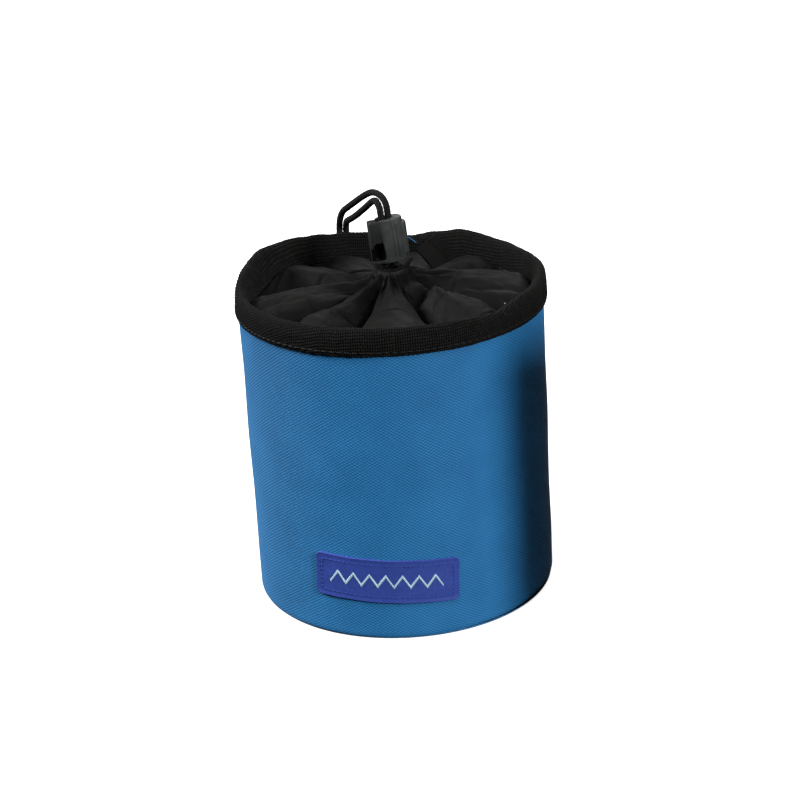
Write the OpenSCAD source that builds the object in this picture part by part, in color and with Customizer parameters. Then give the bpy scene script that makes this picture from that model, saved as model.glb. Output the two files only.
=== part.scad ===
// Round drawstring pouch: stiffened woven wall, taped rim, gathered closure,
// drawcord with a spring cord lock, sewn label and a belt loop on the back.
// Millimetres, +Z up. The origin is the centre of the flat underside, -Y is the front.

/* [Bag] */
// Outside diameter of the woven wall
bag_d = 114; // [96:1:140]
// Height from the underside to the top of the rim
bag_h = 122; // [105:1:160]

/* [Layers] */
// Thickness of the woven outer fabric
fabric_t = 0.7; // [0.5:0.1:1.2]
// Thickness of the foam sheet that stiffens the wall
foam_t = 1.6; // [1:0.1:3]
// Thickness of the fleece lining
lining_t = 1.5; // [0.8:0.1:3]
// Thickness of the stiff disc in the floor of the bag
board_t = 1.6; // [1:0.1:3]
// Height of the taped seam allowance between wall and floor
seam_h = 6; // [4:0.5:10]
// Width of the lapped edge down the back of the wall
lap_w = 9; // [6:0.5:14]
// Thickness that the lapped edge adds
lap_t = 0.4; // [0.3:0.1:1]
// Direction of the lapped edge, turned from the front
lap_turn = 152; // [150:1:165]

/* [Rim] */
// Thickness of the ribbed binding tape
tape_t = 0.9; // [0.6:0.1:1.4]
// Depth of the binding down the outside
tape_out_h = 10; // [7:0.5:16]
// Depth of the binding down the inside
tape_in_h = 11.5; // [8:0.5:18]
// Diameter of the flexible hoop inside the rim
hoop_d = 2.6; // [1.6:0.1:3]
// Width of a row of stitching thread
thread_w = 0.6; // [0.3:0.1:1]
// How far a row of stitching stands out of the cloth
thread_t = 0.25; // [0.15:0.05:0.5]
// Distance from the edge of the binding to its stitching
stitch_inset = 1.4; // [0.8:0.1:2.5]

/* [Closure] */
// Number of gathered folds
folds = 9; // [6:1:12]
// Thickness of the closure cloth
skirt_t = 0.6; // [0.4:0.1:1]
// Drop from the rim to the fold ridges, half way in
ridge_drop = 3.5; // [2:0.5:6]
// Depth of the valleys below the hem of the binding
valley_drop = 3; // [1:0.5:6]
// Radius of the gathered mouth, at the cord inside its casing
mouth_r = 4.8; // [4:0.1:7]
// Wall of the tight casing round its cord
casing_t = 1; // [0.6:0.1:1.6]
// Height of the gathered mouth's cord over the rim
mouth_rise = 0.5; // [0:0.1:2]
// Place of the gathered mouth, to the right of the bag's axis
mouth_x = 0.5; // [-3:0.1:3]
// Place of the gathered mouth, behind the bag's axis
mouth_y = 4; // [1:0.1:7]
// Width, height and thickness of the folded end of the casing
casing_end_size = [11, 9, 1.4];
// Place of that end, behind and to the right of the gathered mouth
casing_end_at = [18.7, 24.5];
// Depth of its foot below the rim
casing_end_drop = 4.2; // [3:0.1:5]
// Tilt of that end about X, Y and Z
casing_end_tilt = [-24, 42, 20];

/* [Cord] */
// Diameter of the braided drawcord
cord_d = 2.4; // [2:0.1:2.8]
// Diameter of the knot that joins the two ends
knot_d = 8.4; // [7:0.1:10]
// Length of the two tails below the knot
tail_l = 9; // [6:0.5:15]

/* [Cord lock] */
// Height of the cord lock
lock_h = 17; // [16:0.5:22]
// Length of the barrel along the plunger, without its end step
barrel_l = 9.8; // [9.6:0.1:12]
// Wall beside the plunger
barrel_side = 0.9; // [0.7:0.1:1.5]
// Wall over and under the plunger
barrel_roof = 1.6; // [1.2:0.1:2.5]
// Wall behind the spring
barrel_end = 0.8; // [0.6:0.1:1]
// Rounding of the barrel's upright corners
barrel_round = 3; // [1.5:0.1:3.1]
// Length of the lower step beyond the closed end
step_l = 1.4; // [1:0.1:2.5]
// Drop of that step from the top of the barrel
step_drop = 2.2; // [1:0.1:3]
// Diameter of the upright grip ribs
rib_d = 1; // [0.6:0.1:1.2]
// How far the grip ribs stand out of the barrel's sides
rib_out = 0.35; // [0.2:0.05:0.5]
// Distance between the grip ribs
rib_pitch = 1.5; // [1.3:0.1:2]
// Distance from the foot of the barrel's mouth to the middle of the cord slot
slot_u = 3.6; // [3.5:0.1:3.8]
// Slant of the barrel's mouth, from top to bottom
mouth_slant = 2; // [0:0.1:2.2]
// Travel of the plunger
press_travel = 1.6; // [1:0.1:1.8]
// How far the plunger stands out of the barrel
head_out = 2.4; // [2.2:0.1:3.5]
// Radius of the plunger's domed end, seen from the side
dome_r = 14; // [9:0.5:30]
// Wall between the plunger's window and its spring
plunger_end = 0.8; // [0.6:0.1:1]
// Wall beside the plunger's window
plunger_side = 0.75; // [0.5:0.05:1.2]
// Wire of the spring
wire_d = 0.35; // [0.25:0.05:0.4]
// Mean diameter of the spring
coil_d = 2.8; // [2.2:0.1:3]
// Turns of the spring
coil_turns = 3; // [2:0.5:3]
// Turn of the plunger's axis from straight right
lock_turn = 15; // [5:1:25]
// Lean of the cord lock to the left
lock_lean = 4.5; // [0:0.5:8]
// Running gap between the plunger and the barrel
slide_gap = 0.15; // [0.1:0.05:0.3]
// Gap round the cords where they pass through the lock
cord_gap = 0.25; // [0.15:0.05:0.4]
// Gap that soft pieces keep from what they lie beside
soft_gap = 0.3; // [0.2:0.05:0.5]

/* [Label] */
// Length of the label round the wall
label_w = 54; // [40:1:70]
// Height of the label
label_h = 17; // [12:0.5:24]
// Thickness of the label
label_t = 1; // [0.6:0.1:1.6]
// Rounding of the label's corners
label_round = 2; // [1:0.1:4]
// Height of the label's middle above the underside
label_z = 24.2; // [18:0.1:40]
// Direction of the label's middle, turned to the left of the front
label_turn = 8; // [0:1:20]
// Slope of the label, its right end low
label_slope = 2.7; // [0:0.1:6]
// Width of the raised edge
label_edge = 0.9; // [0.5:0.1:1.5]
// How far the edge and the zigzag stand out of the label
relief_t = 0.3; // [0.2:0.05:0.5]
// Distance from the label's outline to its stitching
label_inset = 1.9; // [1.6:0.1:3]
// Number of peaks in the woven zigzag
zigzag_peaks = 7; // [4:1:10]
// Height and line width of the zigzag
zigzag_size = [4.4, 1.3];
// Distance from the label's stitching to each end of the zigzag
zigzag_margin = 4; // [2:0.5:8]

/* [Belt loop] */
// Width of the webbing
web_w = 20; // [15:1:25]
// Thickness of the webbing
web_t = 1.4; // [1:0.1:2]
// Distance from the top of the rim down to the top end of the webbing
web_drop = 20; // [19:1:24]
// Length of each end that is sewn flat on the wall
web_end = 12; // [8:1:15]
// Height of the space for the belt
belt_h = 44; // [35:1:50]
// Room for the belt between the wall and the webbing
belt_room = 6.5; // [5.5:0.5:8]
// Height over which the webbing leaves the wall
web_run = 4; // [3:0.5:8]
// Upright width of a bar tack
tack_h = 1.8; // [1.2:0.1:2.5]
// Distance from the side of the webbing to the end of a bar tack
tack_inset = 2; // [1:0.5:4]

/* [Blue tab] */
// Length, height and thickness of the small tab in the rear of the rim
tab_size = [6.5, 4, 0.8];
// Direction of the tab, turned to the right of the rear
tab_turn = 11; // [8:1:30]
// Slope of the tab, its right end low
tab_slope = 24; // [10:1:30]
// Depth of its lower edge below the rim
tab_drop = 4.4; // [4:0.1:7]

/* [Hidden] */
$fn = 64;
// How far a cut runs past the face that it opens.
over = 1;

wall_r = bag_d / 2;
foam_r = wall_r - fabric_t;
lining_r = foam_r - foam_t;
inside_r = lining_r - lining_t;
tape_r = wall_r + tape_t;
tape_in_r = inside_r - tape_t;
cap_r = (tape_r - tape_in_r) / 2;
cap_mid_r = (tape_r + tape_in_r) / 2;
cap_z = bag_h - cap_r;
// The hoop's middle stands this far over the start of the rim's round cap.
hoop_lift = 0.4;
stack_top = cap_z + hoop_lift - hoop_d / 2;
floor_z = fabric_t + board_t;

casing_r = cord_d / 2 + slide_gap + casing_t;
mouth_z = bag_h + mouth_rise;
seat_gap = 0.1;
skirt_out_r = inside_r - seat_gap;
skirt_edge = tape_in_h + soft_gap + skirt_t;
skirt_in_r = mouth_r + casing_r + soft_gap;
skirt_steps = 7;
skirt_sides = folds * 8;

// The two strands pass through the slot side by side, in line with the press.
slot_l = 2 * cord_d + 3 * cord_gap;
slot_w = cord_d + 2 * cord_gap;
barrel_w = slot_w + 2 * (plunger_side + slide_gap + barrel_side);
stem_w = barrel_w - 2 * (barrel_side + slide_gap);
stem_h = lock_h - 2 * (barrel_roof + slide_gap);
step_w = barrel_w - 2 * barrel_side;
step_round = 0.4 * step_w;
window_right = slot_u + slot_l / 2;
window_l = slot_l + press_travel;
plunger_in = window_right + plunger_end;
// The spring stands in a round pocket that reaches into the end step.
pocket_end = barrel_l + step_l - barrel_end;
pocket_d = coil_d + wire_d + 2 * slide_gap;
spring_room = pocket_end - plunger_in;
spring_clear = 0.05;
coil_steps = 8;
tab_reach = asin(tab_size.x / tape_in_r);
// The middle of the cord slot, at the foot of the lock.
lock_x = 0.8;
lock_y = 8;
lock_lift = 0.6;
lock_z = mouth_z + casing_r + lock_lift;

web_half = asin(web_w / 2 / wall_r);
web_out_r = wall_r + belt_room;
web_top = bag_h - web_drop;
web_z1 = web_top - web_end;
web_z2 = web_z1 - web_run;
web_z3 = web_z2 - belt_h;
web_z4 = web_z3 - web_run;

// Fold ridges and valleys of the closure, as heights over the rim at a share t of the way in.
// The ridges rise steeply from the hem, and end a little over the casing's middle.
ridge_steep = 5;
ridge_end = mouth_rise + 0.6;
valley_end = tape_in_h - 3.5;
fold_start = 60;
fold_fullness = 0.6;
function ridge_z(t) = let (low = pow(1 - t, ridge_steep))
    -skirt_edge * low - ridge_drop * (1 - t) * (1 - low) + ridge_end * t;
function valley_z(t) = -skirt_edge + valley_end * t * t - valley_drop * sin(180 * t);
function fold_wave(a) = pow(abs(cos(a * folds / 2 + fold_start)), fold_fullness);
function skirt_point(t, a, drop) =
    let (r = skirt_out_r + (skirt_in_r - skirt_out_r) * t, w = fold_wave(a))
    [mouth_x * t + r * cos(a), mouth_y * t + r * sin(a),
        bag_h + valley_z(t) + (ridge_z(t) - valley_z(t)) * w - drop];

// Route of the cord inside the casing: down at one side of the lock, round the mouth, and up.
cord_lead = 0.35;
cord_start_z = lock_z - cord_lead;
lead_out = [[2.1, 8.3, 0], [2.5, 8.1, -0.9], [3.4, 7.6, -1.8]];
lead_in = [[-2.8, 7.2, -1.8], [-1.4, 7.6, -0.9], [-0.5, 7.7, 0]];
ring_angles = [25 : -15 : -200];
casing_route = concat(
    [for (p = lead_out) p + [0, 0, cord_start_z]],
    [for (a = ring_angles) [mouth_x + mouth_r * cos(a), mouth_y + mouth_r * sin(a), mouth_z]],
    [for (p = lead_in) p + [0, 0, cord_start_z]]);

// Routes of the two free strands, from the casing through the lock and over the rear rim.
outer_route = [
    [2.1, 8.3, 125.1], [1.7, 8.3, 130], [1.3, 8.3, 135], [0.9, 8.3, 140], [0.6, 8.3, 144.8],
    [0.3, 8.6, 147], [-0.5, 9.6, 148.9], [-1.8, 11.4, 150.1], [-3.5, 14.1, 150.4], [-5.3, 18, 149.4],
    [-7.2, 23, 147.2], [-9.2, 28.8, 144.4], [-11.1, 34.6, 141.5], [-12.9, 40.4, 138.6],
    [-14.7, 46.2, 135.7], [-16.4, 51.2, 133], [-17.6, 54.3, 130.2], [-18.4, 55.9, 126.8],
    [-18.7, 56.4, 122], [-18.7, 56.4, 115], [-18.7, 56.4, 108], [-18.7, 56.4, 101],
    [-18.7, 56.4, 94], [-18.7, 56.4, 87], [-18.7, 56.4, 80], [-18.7, 56.4, 73],
    [-18.7, 56.4, 66], [-18.7, 56.5, 59], [-18.8, 57, 52], [-18.9, 57.8, 46],
    [-18.8, 58.6, 40.4]];
inner_route = [
    [-0.5, 7.7, 125.1], [-0.8, 7.7, 130], [-1.2, 7.7, 135], [-1.6, 7.7, 140], [-2, 7.7, 144.4],
    [-2.2, 8.2, 146], [-2.8, 9.7, 147.4], [-3.5, 11.6, 147.9], [-4.4, 14, 147.3],
    [-5.6, 17.5, 145.5], [-7.2, 22, 142.8], [-9, 27.4, 139.8], [-10.7, 33, 136.8],
    [-12.3, 38.6, 134.1], [-13.7, 44, 131.7], [-14.9, 49, 129.6], [-15.6, 53, 127.7],
    [-16, 55.8, 124.4], [-16.1, 57.1, 119.6], [-16.1, 57.3, 113], [-16.1, 57.3, 106],
    [-16.1, 57.3, 99], [-16.1, 57.3, 92], [-16.1, 57.3, 85], [-16.1, 57.3, 78],
    [-16.1, 57.3, 71], [-16.1, 57.4, 64], [-16.1, 57.6, 57], [-16.1, 58.1, 50.6],
    [-16.1, 58.9, 45.4], [-16.2, 59.6, 40.4]];
knot_at = [-17.6, 60.4, 36.6];
// How far the tails reach into the knot.
tail_sunk = 0.4;

function unit(v) = v / norm(v);
function along(p, i) = unit(p[min(i + 1, len(p) - 1)] - p[max(i - 1, 0)]);
function upright(n, t) = unit(n - (n * t) * t);
function normals(p, n, i = 0) = i == len(p) ? [] :
    let (m = upright(n, along(p, i))) concat([m], normals(p, m, i + 1));
function route_length(p, i = 1) = i == len(p) ? 0 : norm(p[i] - p[i - 1]) + route_length(p, i + 1);

echo(str("outer strand ", route_length(outer_route), " mm"));
echo(str("inner strand ", route_length(inner_route), " mm"));

// Direction of the first corner of every swept tube.
first_side = [0, 1, 0.2];

// A tube of one skin, swept along points.
module swept(p, r, sides = 8) {
    n = normals(p, first_side);
    rings = len(p);
    points = [for (i = [0 : rings - 1]) let (t = along(p, i), b = cross(t, n[i]))
        for (k = [0 : sides - 1]) p[i] + r * (cos(360 * k / sides) * n[i] + sin(360 * k / sides) * b)];
    skin = [for (i = [0 : rings - 2]) for (k = [0 : sides - 1])
        let (a = i * sides + k, c = i * sides + (k + 1) % sides)
        each [[a, a + sides, c], [c, a + sides, c + sides]]];
    first = [for (k = [1 : sides - 2]) [0, k, k + 1]];
    last = let (e = (rings - 1) * sides) [for (k = [1 : sides - 2]) [e, e + k + 1, e + k]];
    polyhedron(points, concat(skin, first, last));
}

module tube(outer, inner, z0, z1) {
    translate([0, 0, z0]) difference() {
        cylinder(r = outer, h = z1 - z0, $fn = 128);
        translate([0, 0, -over]) cylinder(r = inner, h = z1 - z0 + 2 * over, $fn = 128);
    }
}

module disc(r, z0, z1) {
    translate([0, 0, z0]) cylinder(r = r, h = z1 - z0, $fn = 128);
}

module outer_wall() color([0.13, 0.42, 0.68]) tube(wall_r, foam_r, fabric_t, stack_top);

module outer_base() color([0.12, 0.4, 0.65]) disc(wall_r, 0, fabric_t);

// Lapped edge where the wall's cloth closes into a tube.
module wall_seam() color([0.12, 0.4, 0.65])
    sector(wall_r, wall_r + lap_t, lap_w, lap_turn, fabric_t, bag_h - tape_out_h - soft_gap);

module base_seam() color([0.1, 0.1, 0.1]) tube(foam_r, lining_r, fabric_t, fabric_t + seam_h);

module wall_stiffener() color([0.85, 0.85, 0.82]) tube(foam_r, lining_r, fabric_t + seam_h, stack_top);

module base_board() color([0.3, 0.3, 0.32]) disc(lining_r, fabric_t, floor_z);

module lining_wall() color([0.16, 0.16, 0.17]) tube(lining_r, inside_r, floor_z, stack_top);

module lining_base() color([0.16, 0.16, 0.17]) disc(inside_r, floor_z, floor_z + lining_t);

module rim_hoop() color([0.8, 0.8, 0.78])
    rotate_extrude($fn = 128) translate([cap_mid_r, stack_top + hoop_d / 2]) circle(d = hoop_d, $fn = 32);

// Tape folded over the rim: a leg down each face and a round cap.
module rim_binding() color([0.09, 0.09, 0.1]) rotate_extrude($fn = 128) {
    difference() {
        translate([cap_mid_r, cap_z]) circle(r = cap_r, $fn = 48);
        translate([cap_mid_r, cap_z]) circle(r = cap_r - tape_t, $fn = 48);
        translate([tape_in_r - over, cap_z - 2 * cap_r]) square([2 * (cap_r + over), 2 * cap_r]);
    }
    translate([wall_r, bag_h - tape_out_h]) square([tape_t, tape_out_h - cap_r]);
    translate([tape_in_r, bag_h - tape_in_h]) square([tape_t, tape_in_h - cap_r]);
}

module binding_stitching() color([0.05, 0.05, 0.05]) {
    tube(tape_r + thread_t, tape_r, bag_h - tape_out_h + stitch_inset,
        bag_h - tape_out_h + stitch_inset + thread_w);
    tube(tape_in_r, tape_in_r - thread_t, bag_h - tape_in_h + stitch_inset,
        bag_h - tape_in_h + stitch_inset + thread_w);
}

// Gathered cloth from the hem of the binding to the casing, as one folded sheet.
module closure_skirt() color([0.12, 0.12, 0.12]) {
    n = skirt_sides;
    m = skirt_steps;
    points = [for (drop = [0, skirt_t]) for (i = [0 : m]) for (k = [0 : n - 1])
        skirt_point(i / m, 360 * k / n, drop)];
    under = (m + 1) * n;
    top_faces = [for (i = [0 : m - 1]) for (k = [0 : n - 1])
        let (a = i * n + k, c = i * n + (k + 1) % n) each [[a, c, a + n], [c, c + n, a + n]]];
    under_faces = [for (f = top_faces) [f[0] + under, f[2] + under, f[1] + under]];
    outer_edge = [for (k = [0 : n - 1]) let (c = (k + 1) % n)
        each [[k, k + under, c], [c, k + under, c + under]]];
    inner_edge = [for (k = [0 : n - 1]) let (a = m * n + k, c = m * n + (k + 1) % n)
        each [[a, c, a + under], [c, c + under, a + under]]];
    faces = concat(top_faces, under_faces, outer_edge, inner_edge);
    polyhedron(points, [for (f = faces) [f[0], f[2], f[1]]]);
}

module skirt_casing() color([0.11, 0.11, 0.11])
    translate([mouth_x, mouth_y, mouth_z]) rotate_extrude($fn = 64) translate([mouth_r, 0]) difference() {
        circle(r = casing_r, $fn = 32);
        circle(d = cord_d + 2 * slide_gap, $fn = 32);
    }

// Folded and stitched end of the casing, standing up behind the lock.
module casing_end() color([0.16, 0.16, 0.16])
    translate([mouth_x + casing_end_at.x, mouth_y + casing_end_at.y, bag_h - casing_end_drop])
        rotate(casing_end_tilt) translate([-casing_end_size.x / 2, -casing_end_size.z / 2, 0])
            cube([casing_end_size.x, casing_end_size.z, casing_end_size.y]);

module casing_cord() color([0.07, 0.07, 0.07]) swept(casing_route, cord_d / 2);

module drawcord_outer() color([0.07, 0.07, 0.07]) swept(outer_route, cord_d / 2);

module drawcord_inner() color([0.07, 0.07, 0.07]) swept(inner_route, cord_d / 2);

module cord_knot() color([0.06, 0.06, 0.06]) translate(knot_at) sphere(d = knot_d, $fn = 32);

module cord_tails() color([0.07, 0.07, 0.07])
    for (side = [-1, 1])
        translate(knot_at + [side * (cord_d / 2 + seat_gap), 0, tail_sunk - knot_d / 2 - tail_l])
            cylinder(d = cord_d, h = tail_l, $fn = 24);

// Places a piece of the cord lock: x along the press, y across it, z up the cords.
module at_lock() translate([lock_x, lock_y, lock_z]) rotate([0, -lock_lean, 0]) rotate([0, 0, lock_turn])
    translate([-slot_u, 0, 0]) children();

module rounded_plan(l, w, r) {
    translate([r, -w / 2]) square([l - 2 * r, w]);
    translate([0, -w / 2 + r]) square([l, w - 2 * r]);
    for (x = [r, l - r], y = [-w / 2 + r, w / 2 - r]) translate([x, y]) circle(r = r, $fn = 48);
}

module stadium(l, w) {
    translate([(w - l) / 2, -w / 2]) square([l - w, w]);
    for (x = [(w - l) / 2, (l - w) / 2]) translate([x, 0]) circle(d = w, $fn = 48);
}

module lock_barrel() color([0.2, 0.22, 0.21]) at_lock() difference() {
    union() {
        translate([-barrel_round - mouth_slant, 0, 0]) linear_extrude(lock_h)
            rounded_plan(barrel_l + barrel_round + mouth_slant, barrel_w, barrel_round);
        translate([barrel_l - 2 * step_round, 0, step_drop]) linear_extrude(lock_h - 2 * step_drop)
            rounded_plan(step_l + 2 * step_round, step_w, step_round);
        for (side = [-1, 1], i = [0 : 1])
            translate([barrel_l - barrel_round - i * rib_pitch,
                side * (barrel_w / 2 + rib_out - rib_d / 2), step_drop])
                cylinder(d = rib_d, h = lock_h - 2 * step_drop, $fn = 24);
    }
    // the mouth, cut on a slant so that the top covers more of the plunger
    translate([0, barrel_w, 0]) rotate([90, 0, 0]) linear_extrude(2 * barrel_w) polygon([
        [-barrel_w, -over], [0, -over], [0, 0], [-mouth_slant, lock_h],
        [-mouth_slant, lock_h + over], [-barrel_w, lock_h + over]]);
    translate([-barrel_w, -stem_w / 2 - slide_gap, barrel_roof])
        cube([barrel_w + barrel_l - barrel_end, stem_w + 2 * slide_gap, stem_h + 2 * slide_gap]);
    translate([plunger_in, 0, lock_h / 2]) rotate([0, 90, 0])
        cylinder(d = pocket_d, h = pocket_end - plunger_in, $fn = 48);
    translate([slot_u, 0, -over]) linear_extrude(lock_h + 2 * over) stadium(slot_l, slot_w);
}

module lock_plunger() color([0.17, 0.18, 0.18]) at_lock() difference() {
    intersection() {
        translate([-head_out, -stem_w / 2, barrel_roof + slide_gap])
            cube([plunger_in + head_out, stem_w, stem_h]);
        translate([dome_r - head_out, 0, lock_h / 2]) rotate([90, 0, 0])
            cylinder(r = dome_r, h = barrel_w, center = true, $fn = 96);
    }
    translate([window_right - window_l, -slot_w / 2, 0]) cube([window_l, slot_w, lock_h]);
}

module lock_spring() color([0.7, 0.7, 0.7]) at_lock() {
    l = spring_room - 2 * spring_clear - wire_d;
    steps = coil_turns * coil_steps;
    turn = 360 / coil_steps;
    x0 = plunger_in + spring_clear + wire_d / 2;
    coil = [for (i = [0 : steps])
        [x0 + l * i / steps, coil_d / 2 * cos(turn * i), lock_h / 2 + coil_d / 2 * sin(turn * i)]];
    echo(str("least gap between turns of the spring ", l / coil_turns - wire_d, " mm"));
    swept(coil, wire_d / 2, 6);
}

// A patch of a tube wall: w wide round the wall, its middle turned from the front to the right.
module sector(r0, r1, w, turn, z0, z1) {
    half = w / 2 / r0 * 180 / PI;
    rotate([0, 0, turn - 90 - half]) translate([0, 0, z0])
        rotate_extrude(angle = 2 * half, $fn = 128) translate([r0, 0]) square([r1 - r0, z1 - z0]);
}

// A flat shape wrapped on the front of the wall between two radii, in the label's own slope.
module on_label(r0, r1) intersection() {
    tube(r1, r0, label_z - 2 * label_h, label_z + 2 * label_h);
    rotate([0, 0, -label_turn]) translate([0, 0, label_z]) rotate([90, 0, 0]) rotate([0, 0, -label_slope])
        linear_extrude(bag_d) children();
}

function chord(w) = 2 * wall_r * sin(w / bag_d * 180 / PI);

module label_outline(inset) {
    w = chord(label_w) - 2 * inset;
    h = label_h - 2 * inset;
    r = max(label_round - inset, label_edge / 2);
    translate([-w / 2, 0]) rounded_plan(w, h, r);
}

module label_patch() color([0.16, 0.22, 0.62]) {
    on_label(wall_r, wall_r + label_t) label_outline(0);
    on_label(wall_r + label_t, wall_r + label_t + relief_t) difference() {
        label_outline(0);
        label_outline(label_edge);
    }
}

module label_stitching() color([0.2, 0.26, 0.68]) on_label(wall_r + label_t, wall_r + label_t + relief_t / 2)
    difference() {
        label_outline(label_inset);
        label_outline(label_inset + thread_w);
    }

module label_zigzag() color([0.6, 0.74, 0.8]) on_label(wall_r + label_t, wall_r + label_t + relief_t) {
    w = chord(label_w) - 2 * (label_inset + zigzag_margin);
    step = w / (2 * zigzag_peaks);
    line = zigzag_size.y / 2;
    top = [for (i = [0 : 2 * zigzag_peaks])
        [-w / 2 + i * step, (i % 2 == 0 ? -1 : 1) * zigzag_size.x / 2 + line]];
    polygon(concat(top, [for (i = [2 * zigzag_peaks : -1 : 0]) top[i] - [0, 2 * line]]));
}

module belt_loop() color([0.1, 0.1, 0.1]) {
    flat_r = wall_r + web_t;
    bend = web_t / 2;
    rotate([0, 0, 90 - web_half]) rotate_extrude(angle = 2 * web_half, $fn = 128) polygon([
        [wall_r, web_top], [flat_r, web_top], [flat_r, web_z1 + bend],
        [web_out_r + web_t, web_z2 + bend], [web_out_r + web_t, web_z3 - bend], [flat_r, web_z4 - bend],
        [flat_r, web_z4 - web_end], [wall_r, web_z4 - web_end], [wall_r, web_z4],
        [web_out_r, web_z3], [web_out_r, web_z2], [wall_r, web_z1]]);
}

module loop_tacks() color([0.03, 0.03, 0.03]) {
    // each tack keeps its own width away from the end that it holds
    for (z = [web_top - 2 * tack_h, web_z1 + tack_h, web_z4 - 2 * tack_h, web_z4 - web_end + tack_h])
        sector(wall_r + web_t, wall_r + web_t + thread_t, web_w - 2 * tack_inset, 180, z, z + tack_h);
}

// Small blue end of cloth caught in the rear of the rim.
module rear_tab() color([0.16, 0.45, 0.75])
    rotate([0, 0, -tab_turn])
        translate([-tab_size.x / 2, tape_in_r * cos(tab_reach) - tab_size.z - seat_gap, bag_h - tab_drop])
            rotate([0, tab_slope, 0]) cube([tab_size.x, tab_size.z, tab_size.y]);

outer_wall();
outer_base();
wall_seam();
base_seam();
wall_stiffener();
base_board();
lining_wall();
lining_base();
rim_hoop();
rim_binding();
binding_stitching();
closure_skirt();
skirt_casing();
casing_end();
casing_cord();
drawcord_outer();
drawcord_inner();
cord_knot();
cord_tails();
lock_barrel();
lock_plunger();
lock_spring();
label_patch();
label_stitching();
label_zigzag();
belt_loop();
loop_tacks();
rear_tab();
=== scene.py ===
import bpy
import math
from mathutils import Matrix, Vector, noise


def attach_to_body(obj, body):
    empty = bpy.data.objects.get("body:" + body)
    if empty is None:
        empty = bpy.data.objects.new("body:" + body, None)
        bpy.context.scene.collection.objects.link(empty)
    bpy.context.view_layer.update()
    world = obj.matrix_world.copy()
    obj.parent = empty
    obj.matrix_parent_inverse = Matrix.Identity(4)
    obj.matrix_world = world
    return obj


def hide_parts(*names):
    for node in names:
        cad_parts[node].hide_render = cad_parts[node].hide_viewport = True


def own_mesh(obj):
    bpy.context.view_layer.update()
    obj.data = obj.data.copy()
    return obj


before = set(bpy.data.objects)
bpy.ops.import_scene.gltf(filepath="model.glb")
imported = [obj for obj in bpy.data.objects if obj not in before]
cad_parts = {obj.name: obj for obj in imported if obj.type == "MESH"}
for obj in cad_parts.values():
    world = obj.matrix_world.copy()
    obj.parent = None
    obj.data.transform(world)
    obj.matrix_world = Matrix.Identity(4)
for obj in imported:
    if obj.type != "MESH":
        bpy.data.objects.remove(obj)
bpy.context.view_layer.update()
mm = 0.001
print("frame loaded:", len(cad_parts), "nodes")


# the camera comes first, and the cords come right after the materials
camera = {
    "lens": 99.0,
    "target": Vector((0, 0, 61 * mm)),
    "distance": 841 * mm,
    "elevation": 22.53,
    "roll": -3.42,
    "shift": (0.00175, 0.03475),
}


def makeCamera(s):
    data = bpy.data.cameras.new("camera")
    data.lens = s["lens"]
    data.sensor_width = 36
    data.shift_x, data.shift_y = s["shift"]
    data.clip_start, data.clip_end = 0.05, 50
    obj = bpy.data.objects.new("camera", data)
    bpy.context.scene.collection.objects.link(obj)
    lift = math.radians(s["elevation"])
    back = Vector((0, -math.cos(lift), math.sin(lift)))
    turn = (-back).to_track_quat("-Z", "Y").to_matrix()
    roll = Matrix.Rotation(math.radians(s["roll"]), 3, "Z")
    obj.matrix_world = Matrix.Translation(s["target"] + back * s["distance"]) @ (turn @ roll).to_4x4()
    bpy.context.scene.camera = obj


makeCamera(camera)


def deselectAll():
    if bpy.context.mode != "OBJECT":
        bpy.ops.object.mode_set(mode="OBJECT")
    bpy.ops.object.select_all(action="DESELECT")


def activate(obj):
    deselectAll()
    obj.select_set(True)
    bpy.context.view_layer.objects.active = obj


def applyModifiers(obj):
    activate(obj)
    for modifier in list(obj.modifiers):
        bpy.ops.object.modifier_apply(modifier=modifier.name)


def settle(obj, name):
    # the place goes into the mesh, and the object back to the origin
    activate(obj)
    bpy.ops.object.transform_apply(location=True, rotation=True, scale=True)
    obj.name = obj.data.name = name
    return obj


def shadeSmooth(obj, angle=40):
    activate(obj)
    bpy.ops.object.shade_smooth_by_angle(angle=math.radians(angle))


def attach(obj, body, slot, material, replaces=()):
    obj.data.materials.clear()
    obj.data.materials.append(material)
    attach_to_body(obj, body)
    if replaces:
        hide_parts(*replaces)
    return obj


def joinAll(objs, name):
    deselectAll()
    for obj in objs:
        obj.select_set(True)
    bpy.context.view_layer.objects.active = objs[0]
    if len(objs) > 1:
        bpy.ops.object.join()
    return settle(bpy.context.active_object, name)


# small sums that many pieces use
def onCircle(turn, radius, z=0.0):
    # turn in degrees from the front, positive to the right
    a = math.radians(turn)
    return Vector((radius * math.sin(a), -radius * math.cos(a), z))


def turnOf(p):
    return math.degrees(math.atan2(p.x, -p.y))


def ease(x):
    x = min(max(x, 0.0), 1.0)
    return x * x * (3 - 2 * x)


def roundTable(table, turn):
    # smooth values between (turn, value) pairs that go once round the bag
    turn = (turn - table[0][0]) % 360 + table[0][0]
    pairs = table + [(table[0][0] + 360, table[0][1])]
    for (a, va), (b, vb) in zip(pairs, pairs[1:]):
        if a <= turn <= b:
            return va + (vb - va) * ease((turn - a) / (b - a))
    return table[0][1]


def lineTable(table, x):
    if x <= table[0][0]:
        return table[0][1]
    for (a, va), (b, vb) in zip(table, table[1:]):
        if x <= b:
            return va + (vb - va) * ease((x - a) / (b - a))
    return table[-1][1]


# materials
def addNode(tree, kind, inputs=None, **settings):
    made = tree.nodes.new(kind)
    for name, value in settings.items():
        setattr(made, name, value)
    for key, value in (inputs or {}).items():
        if isinstance(value, bpy.types.NodeSocket):
            tree.links.new(value, made.inputs[key])
        else:
            made.inputs[key].default_value = value
    return made


def calc(tree, operation, *values):
    return addNode(tree, "ShaderNodeMath", dict(enumerate(values)), operation=operation).outputs[0]


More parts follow.
